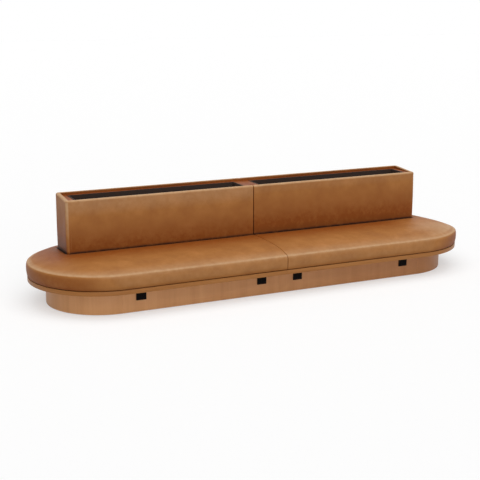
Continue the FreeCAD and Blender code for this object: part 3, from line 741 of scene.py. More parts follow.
def refine(piece: bpy.types.Object) -> None:
    """Smooths a cover with one subdivision, then closes its joint ends."""
    smooth = piece.modifiers.new("smooth", "SUBSURF")
    smooth.levels = 1
    smooth.render_levels = 1
    smooth.boundary_smooth = "PRESERVE_CORNERS"
    bake(piece)
    turn_outwards(piece.data, cap=True)


@dataclass(frozen=True)
class ProfileRow:
    """One row of a cover's profile: how far in, how high, how firmly held, and its painted light and rubbing.
    """

    inset: float
    height: float
    held: float
    wear: float


@dataclass(frozen=True)
class SeatStation:
    """One place along a seat cover: outer point, outward direction, inner point, distance to the joint."""

    outer: Vector
    out: Vector
    inner: Vector
    joint_distance: float = FAR_FROM_JOINT


@dataclass(frozen=True)
class SeatUse:
    """How use has marked one module's round end, as the photograph shows it.

    The rim has sunk by `sunk` at most, and the top with it for `sunk_width` inwards. It starts `sag_start`
    radians in front of the tip, and `sag_fade` of it is gone again behind. The last two fields paint light on
    the round end: a highlight on its top, slight shade on the left, and shade on its side.
    """

    sunk: float
    sunk_width: float
    sag_start: float
    sag_fade: float
    bleached: float
    shaded: float


SEAT_USE = {
    Side.LEFT: SeatUse(0.008, 0.22, 0.35, 0.0, -0.1, 0.8),
    Side.RIGHT: SeatUse(0.044, 0.36, 1.0, 0.75, 0.6, 1.1),
}


@dataclass
class SeatCover:
    """The seat's leather over its foam, wrapped under the seat board's edge and fitted round the backrest."""

    side: Side
    pitch: float = 0.026
    joint_radius: float = 0.006
    joint_depth: float = 0.015
    joint_hold: float = 0.03
    # Painted shade in the groove at the joint.
    joint_wear: float = 2.2
    crown_start: float = 1.6 * MM
    crown_power: float = 4.5
    flat_steps: int = 20
    tuck_width: float = 0.020
    tuck_depth: float = 0.016
    tuck_shares: tuple[float, ...] = (0.72, 0.48, 0.28, 0.12, 0.0)
    wall_steps: int = 6
    under_steps: int = 8
    pocket_top: float = 0.2724
    wall_clearance: float = 0.0005
    start_lower: float = 0.0025
    swell: float = 0.006
    pressure: float = 4.0
    undulation: float = 0.0012
    seam_row: int = 14
    shade_row: int = 9
    shade_rows: int = 7
    # Painted light on the seat's top: a highlight with some rubbing along the rim, shade near the backrest
    # wall and in the tuck.
    rim_rub: float = 0.3
    rim_rub_width: float = 0.09
    wall_dulling: float = 1.1
    wall_dulling_width: float = 0.52
    tuck_dulling: float = 1.6

    def sag_at(self, station: SeatStation) -> float:
        """How far the rim has sunk at one station: nothing in front, most towards the end's rear."""
        use = SEAT_USE[self.side]
        turn = math.atan2(station.out.y, station.out.x)
        near_end = smooth_step((station.outer.x - PLAN.straight_end + 0.7) / 0.7)
        fading = 1 - use.sag_fade * smooth_step((turn - 0.9) / 0.6)
        return use.sunk * smooth_step((turn + use.sag_start) / (use.sag_start + 0.55)) * near_end * fading

    def rounded_inner(self, x: float, y: float) -> Vector:
        """A point of the inner edge, moved onto the backrest's rounded upright corner if it is past one."""
        point = Vector((x, y, 0))
        for face, wall in ((-1, PLAN.back_front), (1, PLAN.back_rear)):
            radius = PLAN.back_corner(self.side, face)
            centre = Vector((PLAN.back_end - radius, wall - face * radius, 0))
            away = point - centre
            if away.x > 0 and away.y * face > 0:
                return centre + away.normalized() * (radius + self.wall_clearance)
        return point

    def side_rows(self) -> list[ProfileRow]:
        """Rows from the board's pocket, round the lower edge, up the boxed side and over the top seam."""
        # Columns: inset and height in mm, hold, and painted light: below nought painted shade round the lower
        # edge, above nought a painted highlight over the top roll.
        table = (
            (21.6, 272.3, 1, 0), (21.6, 264.0, 1, -1), (17.5, 262.2, 1, -1.4), (12.5, 263.0, 1, -0.6),
            (8.6, 267.5, 0.9, -0.2), (5.6, 277.0, 0.4, -0.1), (3.0, 293.0, 0, 0.1), (1.2, 312.0, 0, 0.15),
            (0.3, 331.0, 0, 0.15), (0.4, 349.0, 0, 0.15), (1.2, 362.0, 0, 0.15), (2.6, 372.5, 0, 0.2),
            (4.6, 380.5, 0.2, 0.3), (7.0, 385.8, 0.6, 0.45), (8.8, 386.6, 1, 0.3), (9.8, 389.2, 0.6, 0.8),
            (14.5, 393.0, 0.2, 0.9), (21.5, 396.4, 0, 0.8), (31.5, 400.0, 0, 0.5), (44.0, 403.6, 0, 0.3))
        return [ProfileRow(inset * MM, height * MM, held, wear) for inset, height, held, wear in table]

    def crown(self, inset: float) -> float:
        """Height of the seat's top at a distance inside its outline: it climbs soon, then lies level."""
        share = max(0.0, min(1.0, (inset - PLAN.roll_inset) / (PLAN.seat_radius - PLAN.roll_inset)))
        rise = PLAN.crown_rise - self.crown_start
        return PLAN.cushion_edge + self.crown_start + rise * (1 - (1 - share) ** self.crown_power)

    def corner_turn(self, y: float, face: int) -> float:
        """Angle round the seat's end where a 45-degree line from the backrest's corner meets the outline."""
        x = PLAN.back_end + self.wall_clearance - PLAN.straight_end
        half = (x + face * y) / 2
        reach = math.sqrt(half ** 2 - (x * x + y * y - PLAN.seat_radius ** 2) / 2) - half
        return math.atan2(y + face * reach, x + reach)

    def stations(self) -> list[SeatStation]:
        """Places along the cover, from the joint along the front, round the end and back along the rear."""
        radius, straight = PLAN.seat_radius, PLAN.straight_end
        end_centre = Vector((straight, 0, 0))
        inner_end = PLAN.back_end + self.wall_clearance
        inner_front = PLAN.back_front - self.wall_clearance
        inner_rear = PLAN.back_rear + self.wall_clearance
        turn_front = self.corner_turn(inner_front, -1)
        turn_rear = self.corner_turn(inner_rear, 1)

        def long_side(turn: float, face: int, inner_y: float) -> list[SeatStation]:
            """Stations from the joint to one corner's 45-degree line; face is -1 in front, 1 behind."""
            length = straight + radius * turn
            line = []
            for run in runs_from_joint(length, self.joint_radius, self.pitch):
                if run <= straight:
                    outer, out = Vector((run, face * radius, 0)), Vector((0, face, 0))
                else:
                    angle = (run - straight) / radius
                    out = Vector((math.sin(angle), face * math.cos(angle), 0))
                    outer = end_centre + out * radius
                inner_run = run - (length - inner_end) * (run / length) ** 2
                line.append(SeatStation(outer, out, self.rounded_inner(inner_run, inner_y), run))
            return line

        end = []
        steps = round(radius * (turn_rear - turn_front) / self.pitch)
        for step in range(1, steps):
            share = step / steps
            angle = turn_front + (turn_rear - turn_front) * share
            out = Vector((math.cos(angle), math.sin(angle), 0))
            inner = self.rounded_inner(inner_end, inner_front + (inner_rear - inner_front) * share)
            end.append(SeatStation(end_centre + out * radius, out, inner))
        front = long_side(math.pi / 2 + turn_front, -1, inner_front)
        rear = long_side(math.pi / 2 - turn_rear, 1, inner_rear)
        return front + end + rear[::-1]

    def ring(self, station: SeatStation) -> Ring:
        """One ring: up the side, over the rim to the tuck, down the wall and back along the board."""
        made = Ring()
        rows = self.side_rows()
        use = SEAT_USE[self.side]
        sink = joint_sink(station.joint_distance, self.joint_radius, self.joint_depth)
        sag = self.sag_at(station)
        near_joint = 1.0 if station.joint_distance < self.joint_hold else 0.0
        # Painted shade in the joint groove, darkest right at the joint.
        joint_shade = self.joint_wear * (1 - smooth_step(station.joint_distance / (0.5 * self.joint_radius)))
        # Painted light on the round end: a highlight on its top, shade on its side.
        end_share = smooth_step((station.outer.x - PLAN.straight_end) / 0.5)
        bleached = end_share * use.bleached
        shaded = end_share * use.shaded
        for index, row in enumerate(rows):
            before = rows[max(0, index - 1)]
            after = rows[min(len(rows) - 1, index + 1)]
            along = Vector((after.inset - before.inset, after.height - before.height)).normalized()
            share = min(1.0, 0.25 * (index - 3)) if index > 3 else 0.0
            inward = Vector((along.y, -along.x)) * sink * share
            up = max(0.0, row.height - PLAN.board_top) / (PLAN.cushion_edge - PLAN.board_top)
            made.add(station.outer - station.out * (row.inset + inward.x + sag * 0.3 * up)
                     + Vector((0, 0, row.height + inward.y - sag * up * up)), max(row.held, near_joint),
                     row.wear - joint_shade - shaded * (1 - smooth_step((index - self.shade_row) / self.shade_rows)))
        start = station.outer - station.out * rows[-1].inset
        span = (station.inner - start).length
        flat = [(span - self.tuck_width) * k / self.flat_steps for k in range(1, self.flat_steps + 1)]
        for distance in flat + [span - self.tuck_width * share for share in self.tuck_shares]:
            place = start.lerp(station.inner, distance / span)
            left = 1 - min(1.0, (span - distance) / self.tuck_width)
            drop = self.tuck_depth * (1 - math.sqrt(max(0.0, 1 - left * left)))
            lower = self.start_lower * smooth_step(distance / 0.05)
            shallow = 1 - 0.4 * smooth_step(distance / 0.15)
            sunk = sag * (1 - smooth_step(distance / min(use.sunk_width, span)))
            inset = PLAN.edge_distance(place.x, place.y)
            place.z = self.crown(inset) - drop - lower - sunk - sink * (1 - left) * shallow
            # Painted highlight with rubbing along the rim and on the round end's top; painted shade near the
            # backrest wall, painted shadow in the tuck.
            highlight_and_rub = self.rim_rub * (1 - smooth_step(distance / self.rim_rub_width))
            highlight_and_rub += bleached * (1 - smooth_step(left))
            painted_shade = self.wall_dulling * (1 - smooth_step((span - distance) / self.wall_dulling_width))
            painted_shade += self.tuck_dulling * smooth_step(left * 1.5)
            made.add(place, max(smooth_step(left), near_joint), highlight_and_rub - painted_shade - joint_shade)
        wall_top = made.points[-1].z
        for step in range(1, self.wall_steps + 1):
            height = wall_top + (self.pocket_top - wall_top) * step / self.wall_steps
            made.add(Vector((station.inner.x, station.inner.y, height)))
        pocket = station.outer - station.out * rows[0].inset
        for step in range(1, self.under_steps):
            place = station.inner.lerp(pocket, step / self.under_steps)
            place.z = self.pocket_top
            made.add(place)
        return made

    def build(self) -> bpy.types.Object:
        """Makes the cover, swells it, dresses it and sews its seam."""
        rings = [self.ring(station) for station in self.stations()]
        skin = PaddedSkin(self.side.node("seat_upholstery"), self.side, rings)
        piece = skin.build()
        plump(piece, skin.held, self.pressure, self.swell)
        self.settle_foam(piece, skin.held)
        skin.dress(piece)
        settle(piece, "bench", [self.side.node("seat_cushion")])
        first = self.seam_row + 2
        seam = [piece.data.vertices[column * skin.rows + first].co.copy() for column in range(len(rings))]
        StitchRow(self.side.node("seat_stitches"), seam, piece).build()
        return piece

    def settle_foam(self, piece: bpy.types.Object, held: Sequence[float]) -> None:
        """Gives the free leather the slight unevenness of use, the same on each run."""
        shift = Vector((3.1, 7.7, 1.3)) * (1 if self.side is Side.RIGHT else 2)
        normals = [vertex.normal.copy() for vertex in piece.data.vertices]
        for vertex, normal, firm in zip(piece.data.vertices, normals, held):
            if firm > FIRM:
                continue
            broad = noise.noise(vertex.co * 3.2 + shift)
            pull = noise.noise(Vector((vertex.co.x * 13, vertex.co.y * 13, 0)) + shift)
            edge = smooth_step(1 - abs(vertex.co.z - 0.397) / 0.02)
            vertex.co += normal * (self.undulation * (broad + 0.9 * edge * pull)) * (1 - firm)


@dataclass(frozen=True)
class BackStation:
    """One place along a backrest cover: its outer, board and trough points, its distance and its seam."""

    outer: Vector
    out: Vector
    board: Vector
    inner: Vector
    joint_distance: float = FAR_FROM_JOINT
    seam: float = 0.0


@dataclass
class BackCover:
    """One module's backrest cover: front, end and rear in one run, rolled over the top of the walls."""

    side: Side
    pitch: float = 0.028
    joint_radius: float = 0.010
    joint_depth: float = 0.015
    joint_hold: float = 0.03
    # Painted shade in the groove at the joint.
    joint_wear: float = 2.4
    roll: float = 0.017
    roll_steps: int = 5
    inner_edge: float = 0.005
    face_crown: float = 0.003
    cap_height: float = 0.0078
    face_rows: int = 24
    corner_steps: int = 4
    end_steps: int = 10
    board_turn: float = 3.5 * MM
    inner_turn: float = 4 * MM
    seam_start: float = 0.008
    seam_rows: tuple[float, ...] = (0.0062, 0.004, 0.0018)
    seam_depth: float = 0.0014
    swell: float = 0.003
    pressure: float = 0.1

    def long_face(self, face: int) -> list[BackStation]:
        """Stations from the joint along the front or the rear, past the seam and round the corner.

        Args:
            face: -1 for the front, 1 for the rear.

        Returns:
            The stations in order.
        """
        walls = {-1: (PLAN.back_front, PLAN.front_board, PLAN.trough_front),
                 1: (PLAN.back_rear, PLAN.rear_board, PLAN.trough_rear)}
        wall_y, board_y, inner_y = walls[face]
        radius = PLAN.back_corner(self.side, face)
        long_run = PLAN.back_end - radius
        runs = runs_from_joint(long_run - self.seam_start, self.joint_radius, self.pitch)
        line = []
        for run in runs + [long_run - before for before in self.seam_rows]:
            share = run / long_run
            board = Vector(((PLAN.end_board - self.board_turn) * share, board_y, 0))
            inner = Vector(((PLAN.trough_end - self.inner_turn) * share, inner_y, 0))
            seam = 1.0 if abs(run - (long_run - self.seam_rows[1])) < 1e-6 else 0.0
            line.append(BackStation(Vector((run, wall_y, 0)), Vector((0, face, 0)), board, inner, run, seam))
        centre = Vector((long_run, wall_y - face * radius, 0))
        half = self.corner_steps / 2
        for step in range(self.corner_steps + 1):
            angle = math.pi / 2 * step / self.corner_steps
            out = Vector((math.sin(angle), face * math.cos(angle), 0))
            before = 1 - min(1.0, step / half)
            past = face * max(0.0, step / half - 1)
            board = Vector((PLAN.end_board - self.board_turn * before, board_y - self.board_turn * past, 0))
            inner = Vector((PLAN.trough_end - self.inner_turn * before, inner_y - self.inner_turn * past, 0))
            line.append(BackStation(centre + out * radius, out, board, inner))
        return line

    def stations(self) -> list[BackStation]:
        """The front's stations, then the end's, then the rear's back to the joint."""
        front_radius, rear_radius = (PLAN.back_corner(self.side, face) for face in (-1, 1))
        ranges = ((PLAN.back_end, PLAN.back_front + front_radius, PLAN.back_rear - rear_radius),
                  (PLAN.end_board, PLAN.front_board + self.board_turn, PLAN.rear_board - self.board_turn),
                  (PLAN.trough_end, PLAN.trough_front + self.inner_turn, PLAN.trough_rear - self.inner_turn))
        end = []
        for step in range(1, self.end_steps):
            share = step / self.end_steps
            outer, board, inner = (Vector((x, first + (last - first) * share, 0))
                                   for x, first, last in ranges)
            end.append(BackStation(outer, Vector((1, 0, 0)), board, inner))
        return self.long_face(-1) + end + self.long_face(1)[::-1]

    def ring(self, station: BackStation) -> Ring:
        """One ring: up the face, over the roll and the cap, down the inner edge and back along the board."""
        made = Ring()
        outer, out, board, inner = station.outer, station.out, station.board, station.inner
        bottom = PLAN.board_top + 0.5 * MM
        top = PLAN.wall_top(outer.y)
        sink = joint_sink(station.joint_distance, self.joint_radius, self.joint_depth)
        near_joint = 1.0 if station.joint_distance < self.joint_hold else 0.0
        # Painted shade in the joint groove, darkest right at the joint.
        joint_shade = self.joint_wear * (1 - smooth_step(station.joint_distance / (0.5 * self.joint_radius)))
        # Painted light round the plan: a highlight on the upright corners, shade over the right module and on
        # the end faces.
        turned = 0.75 * min(1.0, 2 * abs(out.x * out.y) ** 0.5) - (0.3 if self.side is Side.RIGHT else 0.08)
        turned -= 0.45 * max(0.0, out.x) ** 4
        groove = self.seam_depth * station.seam

        def add(place: Vector, firm: float = 1.0, light_and_wear_value: float = 0.0) -> None:
            """Adds one point, held where it is near the joint."""
            made.add(place, max(firm, near_joint), light_and_wear_value - joint_shade)

        face_height = top - self.roll - bottom
        seat_share = (PLAN.cushion_edge + PLAN.crown_rise - bottom) / face_height
        for row in range(self.face_rows):
            share = row / (self.face_rows - 1)
            inset = self.face_crown * (2 * share - 1) ** 2 + sink + groove
            # Painted light up the face: shade low down and where it meets the seat, a highlight near the top.
            low = 1 - smooth_step((share - 0.2) / 0.6)
            seat_crease_shade = 1.3 * (1 - smooth_step((share - seat_share + 0.02) / 0.05))
            add(outer - out * inset + Vector((0, 0, bottom + face_height * share)),
                1.0 if row < 3 else 0.3 * station.seam,
                0.45 * smooth_step((share - 0.7) / 0.3) + turned - 0.95 * low - seat_crease_shade)
        # Painted highlight over the roll, the cap and the inner edge, with the leather's stretch over the
        # roll.
        for step in range(1, self.roll_steps + 1):
            angle = math.pi / 2 * step / self.roll_steps
            inset = self.face_crown + self.roll * (1 - math.cos(angle)) + (sink + groove) * math.cos(angle)
            height = top - self.roll + self.roll * math.sin(angle) - (sink + groove) * math.sin(angle)
            add(outer - out * inset + Vector((0, 0, height)), 0.2, 0.4 + 0.6 * math.sin(angle))
        cap_start = outer - out * (self.face_crown + self.roll)
        for share in (0.25, 0.5, 0.75):
            place = cap_start.lerp(inner, share * 0.8)
            place.z = PLAN.wall_top(place.y) - sink - groove + 0.6 * MM * math.sin(math.pi * share)
            add(place, 0.4, 0.9)
        inward = cap_start - inner
        inward.z = 0
        inward.normalize()
        for turn in (0.0, 0.5, 1.0):
            angle = turn * math.pi / 2
            place = inner + inward * (self.inner_edge * (1 - math.sin(angle)))
            place.z = PLAN.wall_top(place.y) - self.inner_edge * (1 - math.cos(angle)) - sink
            add(place, 0.8, 0.7 - 0.5 * turn)
        add(Vector((inner.x, inner.y, PLAN.wall_top(inner.y) - self.cap_height)))
        under = PLAN.wall_top(board.y) - self.cap_height
        for share in (0.0, 0.25, 0.5, 0.75, 1.0):
            add(Vector((board.x, board.y, under + (bottom - under) * share)))
        return made

    def build(self) -> bpy.types.Object:
        """Makes the cover, swells it, folds its corners, dresses it and sews its corner seams."""
        places = self.stations()
        rings = [self.ring(place) for place in places]
        skin = PaddedSkin(self.side.node("back_upholstery"), self.side, rings)
        piece = skin.build()
        plump(piece, skin.held, self.pressure, self.swell)
        self.fold_corners(piece, skin.held)
        skin.dress(piece)
        settle(piece, "bench",
               [self.side.node(name) for name in ("back_front_pad", "back_end_pad", "back_rear_pad")])
        for label, column in self.seam_columns(places).items():
            first = (column - 2) * skin.rows
            seam = [piece.data.vertices[first + row].co.copy() for row in range(5, 26)]
            StitchRow(self.side.node(f"back_{label}_stitches"), seam, piece).build()
        return piece

    def seam_columns(self, places: Sequence[BackStation]) -> dict[str, int]:
        """Stations where the cover's corner seams run, by name."""
        seams = [index for index, place in enumerate(places) if place.seam > 0]
        return {"front": seams[0], "rear": seams[1] + 4}

    def fold_corners(self, piece: bpy.types.Object, held: Sequence[float]) -> None:
        """Presses a soft pleat into the leather below each outer top corner, and waves the long faces."""
        shift = Vector((1.9, 4.3, 8.1)) * (1 if self.side is Side.RIGHT else 2)
        fold_x = self.side.value * (PLAN.back_end - 0.019)
        corners = [(Vector((fold_x, PLAN.back_front, PLAN.wall_front_top - 0.023)), 1.0),
                   (Vector((fold_x, PLAN.back_rear, PLAN.wall_rear_top - 0.026)), 0.6)]
        normals = [vertex.normal.copy() for vertex in piece.data.vertices]
        for vertex, normal, firm in zip(piece.data.vertices, normals, held):
            if firm > FIRM:
                continue
            wave = noise.noise(vertex.co * 4.0 + shift) * 1.2 * MM
            fold = 0.0
            for corner, size in corners:
                away = vertex.co - corner
                slant = (away.z * 0.8 + abs(away.x) * 0.6) / 0.012
                fold += size * 1.6 * MM * math.exp(-away.length_squared / 0.0011) * math.sin(slant)
            vertex.co += normal * (wave + fold) * (1 - firm)


# Stitches and screws, which Geometry Nodes repeat

def new_geometry_tree(name: str, inputs: dict[str, str]) -> tuple[bpy.types.NodeTree, Any]:
    """Starts a geometry tree.

    Args:
        name: The tree's name.
        inputs: The kind of each named input beside the geometry.

    Returns:
        The tree, and the sockets that carry its inputs.
    """
    tree = bpy.data.node_groups.new(name, "GeometryNodeTree")
    for label, kind in {"Geometry": "Geometry", **inputs}.items():
        tree.interface.new_socket(label, in_out="INPUT", socket_type="NodeSocket" + kind)
    tree.interface.new_socket("Geometry", in_out="OUTPUT", socket_type="NodeSocketGeometry")
    return tree, add_node(tree, "NodeGroupInput").outputs


def place_shapes(tree: bpy.types.NodeTree, points: bpy.types.NodeSocket, shape: bpy.types.NodeSocket,
                 way: bpy.types.NodeSocket, axis: str, spin: tuple[float, float], seed: bpy.types.NodeSocket,
                 finish: bpy.types.NodeSocket) -> None:
    """Puts a shape on each point, turns it, gives it its finish and ends the tree.

    Args:
        tree: The geometry tree.
        points: Where the shapes go.
        shape: The shape.
        way: The direction that each one faces.
        axis: The shape's own axis that faces it.
        spin: Least and most turn about the shape's own Z.
        seed: Seed of that turn.
        finish: The material.
    """
    turned = add_node(tree, "FunctionNodeAlignRotationToVector", {"Vector": way}, axis=axis).outputs[0]
    amount = add_node(tree, "FunctionNodeRandomValue", {2: spin[0], 3: spin[1], "Seed": seed},
                      data_type="FLOAT").outputs[1]
    about = add_node(tree, "ShaderNodeCombineXYZ", {2: amount}).outputs[0]
    spun = add_node(tree, "FunctionNodeEulerToRotation", {0: about}).outputs[0]
    turned = add_node(tree, "FunctionNodeRotateRotation", {0: turned, 1: spun},
                      rotation_space="LOCAL").outputs[0]
    placed = add_node(tree, "GeometryNodeInstanceOnPoints", {
        "Points": points, "Instance": shape, "Rotation": turned}).outputs[0]
    real = add_node(tree, "GeometryNodeRealizeInstances", {0: placed}).outputs[0]
    done = add_node(tree, "GeometryNodeSetMaterial", {"Geometry": real, "Material": finish}).outputs[0]
    add_node(tree, "NodeGroupOutput", {0: done})


def grow(piece: bpy.types.Object, tree: bpy.types.NodeTree, values: dict[str, Any]) -> None:
    """Runs a geometry tree on a piece and keeps the result as its plain mesh.

    Args:
        piece: The piece whose mesh the tree starts from.
        tree: The tree.
        values: A value for each named input, which is set by its socket's identifier.
    """
    modifier = piece.modifiers.new(tree.name, "NODES")
    modifier.node_group = tree
    for item in tree.interface.items_tree:
        if item.item_type == "SOCKET" and item.in_out == "INPUT" and item.name in values:
            modifier[item.identifier] = values[item.name]
    bake(piece)


def stitch_tree() -> bpy.types.NodeTree:
    """The tree that lays stitches along a sewn line, each with a slight seeded twist."""
    found = bpy.data.node_groups.get("stitch row")
    if found:
        return found
    tree, given = new_geometry_tree("stitch row", {
        "Pitch": "Float", "Length": "Float", "Thickness": "Float", "Seed": "Int", "Thread": "Material"})
    line = add_node(tree, "GeometryNodeMeshToCurve", {0: given["Geometry"]}).outputs[0]
    spaced = add_node(tree, "GeometryNodeResampleCurve", {"Curve": line, "Length": given["Pitch"]},
                      mode="LENGTH").outputs[0]
    half = add_node(tree, "ShaderNodeMath", {0: given["Length"], 1: 0.5}, operation="MULTIPLY").outputs[0]
    thin = add_node(tree, "ShaderNodeMath", {0: given["Thickness"], 1: 0.5}, operation="MULTIPLY").outputs[0]
    size = add_node(tree, "ShaderNodeCombineXYZ", {0: half, 1: thin, 2: thin}).outputs[0]
    bead = add_node(tree, "GeometryNodeMeshUVSphere", {"Segments": 6, "Rings": 5, "Radius": 1.0}).outputs[0]
    bead = add_node(tree, "GeometryNodeTransform", {
        "Geometry": bead, "Rotation": (0, math.pi / 2, 0)}).outputs[0]
    bead = add_node(tree, "GeometryNodeTransform", {"Geometry": bead, "Scale": size}).outputs[0]
    bead = add_node(tree, "GeometryNodeSetShadeSmooth", {0: bead}).outputs[0]
    tangent = add_node(tree, "GeometryNodeInputTangent").outputs[0]
    place_shapes(tree, spaced, bead, tangent, "X", (-0.12, 0.12), given["Seed"], given["Thread"])
    return tree


@dataclass
class StitchRow:
    """A row of lockstitches beside a seam."""

    name: str
    line: list[Vector]
    cover: bpy.types.Object
    pitch: float = 0.009
    length: float = 0.0066
    thickness: float = 0.0013
    stand: float = 0.1 * MM

    def build(self) -> bpy.types.Object:
        """Lays the stitches on the cover's surface."""
        mesh = bpy.data.meshes.new(self.name)
        laid = []
        for point in self.line:
            hit, place, normal, _ = self.cover.closest_point_on_mesh(point)
            laid.append(tuple(place + normal * self.stand) if hit else tuple(point))
        mesh.from_pydata(laid, [(k, k + 1) for k in range(len(laid) - 1)], [])
        piece = add_object(self.name, mesh)
        grow(piece, stitch_tree(), {"Pitch": self.pitch, "Length": self.length, "Thickness": self.thickness,
                                    "Seed": 11, "Thread": THREAD.material()})
        settle(piece, "bench", [])
        return piece


def screw_tree() -> bpy.types.NodeTree:
    """The tree that sets a cross-recess screw at each point, with its head along the point's axis."""
    found = bpy.data.node_groups.get("cross-recess screws")
    if found:
        return found
    sizes = ("Head radius", "Head height", "Shank radius", "Shank length", "Recess width", "Recess span")
    tree, given = new_geometry_tree("cross-recess screws", {
        **{size: "Float" for size in sizes}, "Seed": "Int", "Metal": "Material"})
    crown = add_node(tree, "ShaderNodeMath", {0: given["Head radius"], 1: 0.78},
                     operation="MULTIPLY").outputs[0]
    head = add_node(tree, "GeometryNodeMeshCone", {
        "Vertices": 20, "Radius Top": crown, "Radius Bottom": given["Head radius"],
        "Depth": given["Head height"]}).outputs[0]
    lift = add_node(tree, "ShaderNodeCombineXYZ", {2: given["Head height"]}).outputs[0]
    for along, across in (("Recess span", "Recess width"), ("Recess width", "Recess span")):
        size = add_node(tree, "ShaderNodeCombineXYZ", {
            0: given[along], 1: given[across], 2: given["Head height"]}).outputs[0]
        bar = add_node(tree, "GeometryNodeMeshCube", {"Size": size}).outputs[0]
        cut = add_node(tree, "GeometryNodeTransform", {"Geometry": bar, "Translation": lift}).outputs[0]
        head = add_node(tree, "GeometryNodeMeshBoolean", {0: head, 1: cut}, operation="DIFFERENCE").outputs[0]
    shank = add_node(tree, "GeometryNodeMeshCylinder", {
        "Vertices": 12, "Radius": given["Shank radius"], "Depth": given["Shank length"]}).outputs[0]
    down = add_node(tree, "ShaderNodeMath", {0: given["Shank length"], 1: -0.5},
                    operation="MULTIPLY").outputs[0]
    drop = add_node(tree, "ShaderNodeCombineXYZ", {2: down}).outputs[0]
    shank = add_node(tree, "GeometryNodeTransform", {"Geometry": shank, "Translation": drop}).outputs[0]
    screw = add_node(tree, "GeometryNodeJoinGeometry")
    tree.links.new(head, screw.inputs[0])
    tree.links.new(shank, screw.inputs[0])
    axis = add_node(tree, "GeometryNodeInputNamedAttribute", {"Name": "axis"},
                    data_type="FLOAT_VECTOR").outputs[0]
    points = add_node(tree, "GeometryNodeMeshToPoints", {0: given["Geometry"]}).outputs[0]
    place_shapes(tree, points, screw.outputs[0], axis, "Z", (0.0, 1.5), given["Seed"], given["Metal"])
    return tree


@dataclass
class ScrewSet:
    """Screws of one size, each given by its head's seat and the way its head points."""

    name: str
    node: str
    seats: list[tuple[Vector, Vector]]
    head_diameter: float
    head_height: float
    shank_diameter: float
    shank_length: float
    finish: Finish
    slot: str
    recess_width: float = 0.13
    recess_span: float = 0.62

    def build(self) -> bpy.types.Object:
        """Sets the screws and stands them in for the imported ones."""
        mesh = bpy.data.meshes.new(self.name)
        mesh.from_pydata([tuple(seat) for seat, _ in self.seats], [], [])
        axis = mesh.attributes.new("axis", "FLOAT_VECTOR", "POINT")
        axis.data.foreach_set("vector", [part for _, way in self.seats for part in way])
        piece = add_object(self.name, mesh)
        grow(piece, screw_tree(), {
            "Head radius": self.head_diameter / 2, "Head height": self.head_height,
            "Shank radius": self.shank_diameter / 2, "Shank length": self.shank_length,
            "Recess width": self.head_diameter * self.recess_width,
            "Recess span": self.head_diameter * self.recess_span,
            "Seed": 5, "Metal": self.finish.material()})
        piece.data.set_sharp_from_angle(angle=math.radians(35))
        settle(piece, "bench", [self.node])
        return piece


# Timber

def dress_node(node: str, finish: Finish) -> None:
    """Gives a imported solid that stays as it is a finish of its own."""
    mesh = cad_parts[node].data
    mesh.materials.clear()
    mesh.materials.append(finish.material())
    log.info("%s keeps its packed shape, in %s", node, finish.name)


def dressed_copy(node: str, ending: str, ease: float, finish: Finish, segments: int = 2,
                 sharp_degrees: float = 35, body: str = "bench",
                 added: Callable[[bmesh.types.BMesh], None] | None = None) -> bpy.types.Object:
    """Copies a solid with eased edges, dresses the copy and lets it stand for the solid.

    Args:
        node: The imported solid.
        ending: What the copy's name adds to the solid's.
        ease: Width of the eased edge.
        finish: The copy's finish.
        segments: Faces across an eased edge.
        sharp_degrees: Edges sharper than this stay sharp in the shading.
        body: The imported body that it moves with.
        added: Adds further faces to the copy, if given.

    Returns:
        The copy.
    """
    piece = eased_copy(node, ease, node + ending, segments)
    if added:
        work = bmesh.new()
        work.from_mesh(piece.data)
        added(work)
        work.to_mesh(piece.data)
        work.free()
    if isinstance(finish, LacqueredTimber):
        set_grain(piece)
    shade(piece, finish.material(), sharp_degrees)
    settle(piece, body, [node])
    return piece


@dataclass
class Plinth:
    """The recessed plinth under the deck, with its inner boards and glides."""

    panel_ease: float = 0.0016
    glide_ease: float = 0.0015
    panels: tuple[str, ...] = ("plinth_front_panel", "plinth_rear_panel", "plinth_front_corner",
                               "plinth_rear_corner")
    boards: tuple[str, ...] = ("plinth_joint_panel", "plinth_ribs", "plinth_end_post")

    def build(self) -> None:
        """Veneers the panels, leaves the inner boards bare and rounds the glides."""
        for side in Side:
            for name in self.panels:
                dressed_copy(side.node(name), "_veneered", self.panel_ease, PLINTH_VENEER,
                             sharp_degrees=30)
            for name in self.boards:
                dress_node(side.node(name), PLY)
            dressed_copy(side.node("floor_glides"), "_moulded", self.glide_ease, GLIDE_PLASTIC,
                         segments=3, sharp_degrees=40)


@dataclass
class Deck:
    """The deck boards, whose lipped edge is the pale rail, and the seat boards above them."""

    deck_ease: float = 0.003
    board_ease: float = 0.001

    def build(self) -> None:
        """Eases the deck's edge and stains the seat board's."""
        for side in Side:
            dressed_copy(side.node("deck_board"), "_lipped", self.deck_ease, DECK_TIMBER,
                         segments=3)
            dressed_copy(side.node("seat_board"), "_stained", self.board_ease, STAINED_EDGE,
                         segments=1)


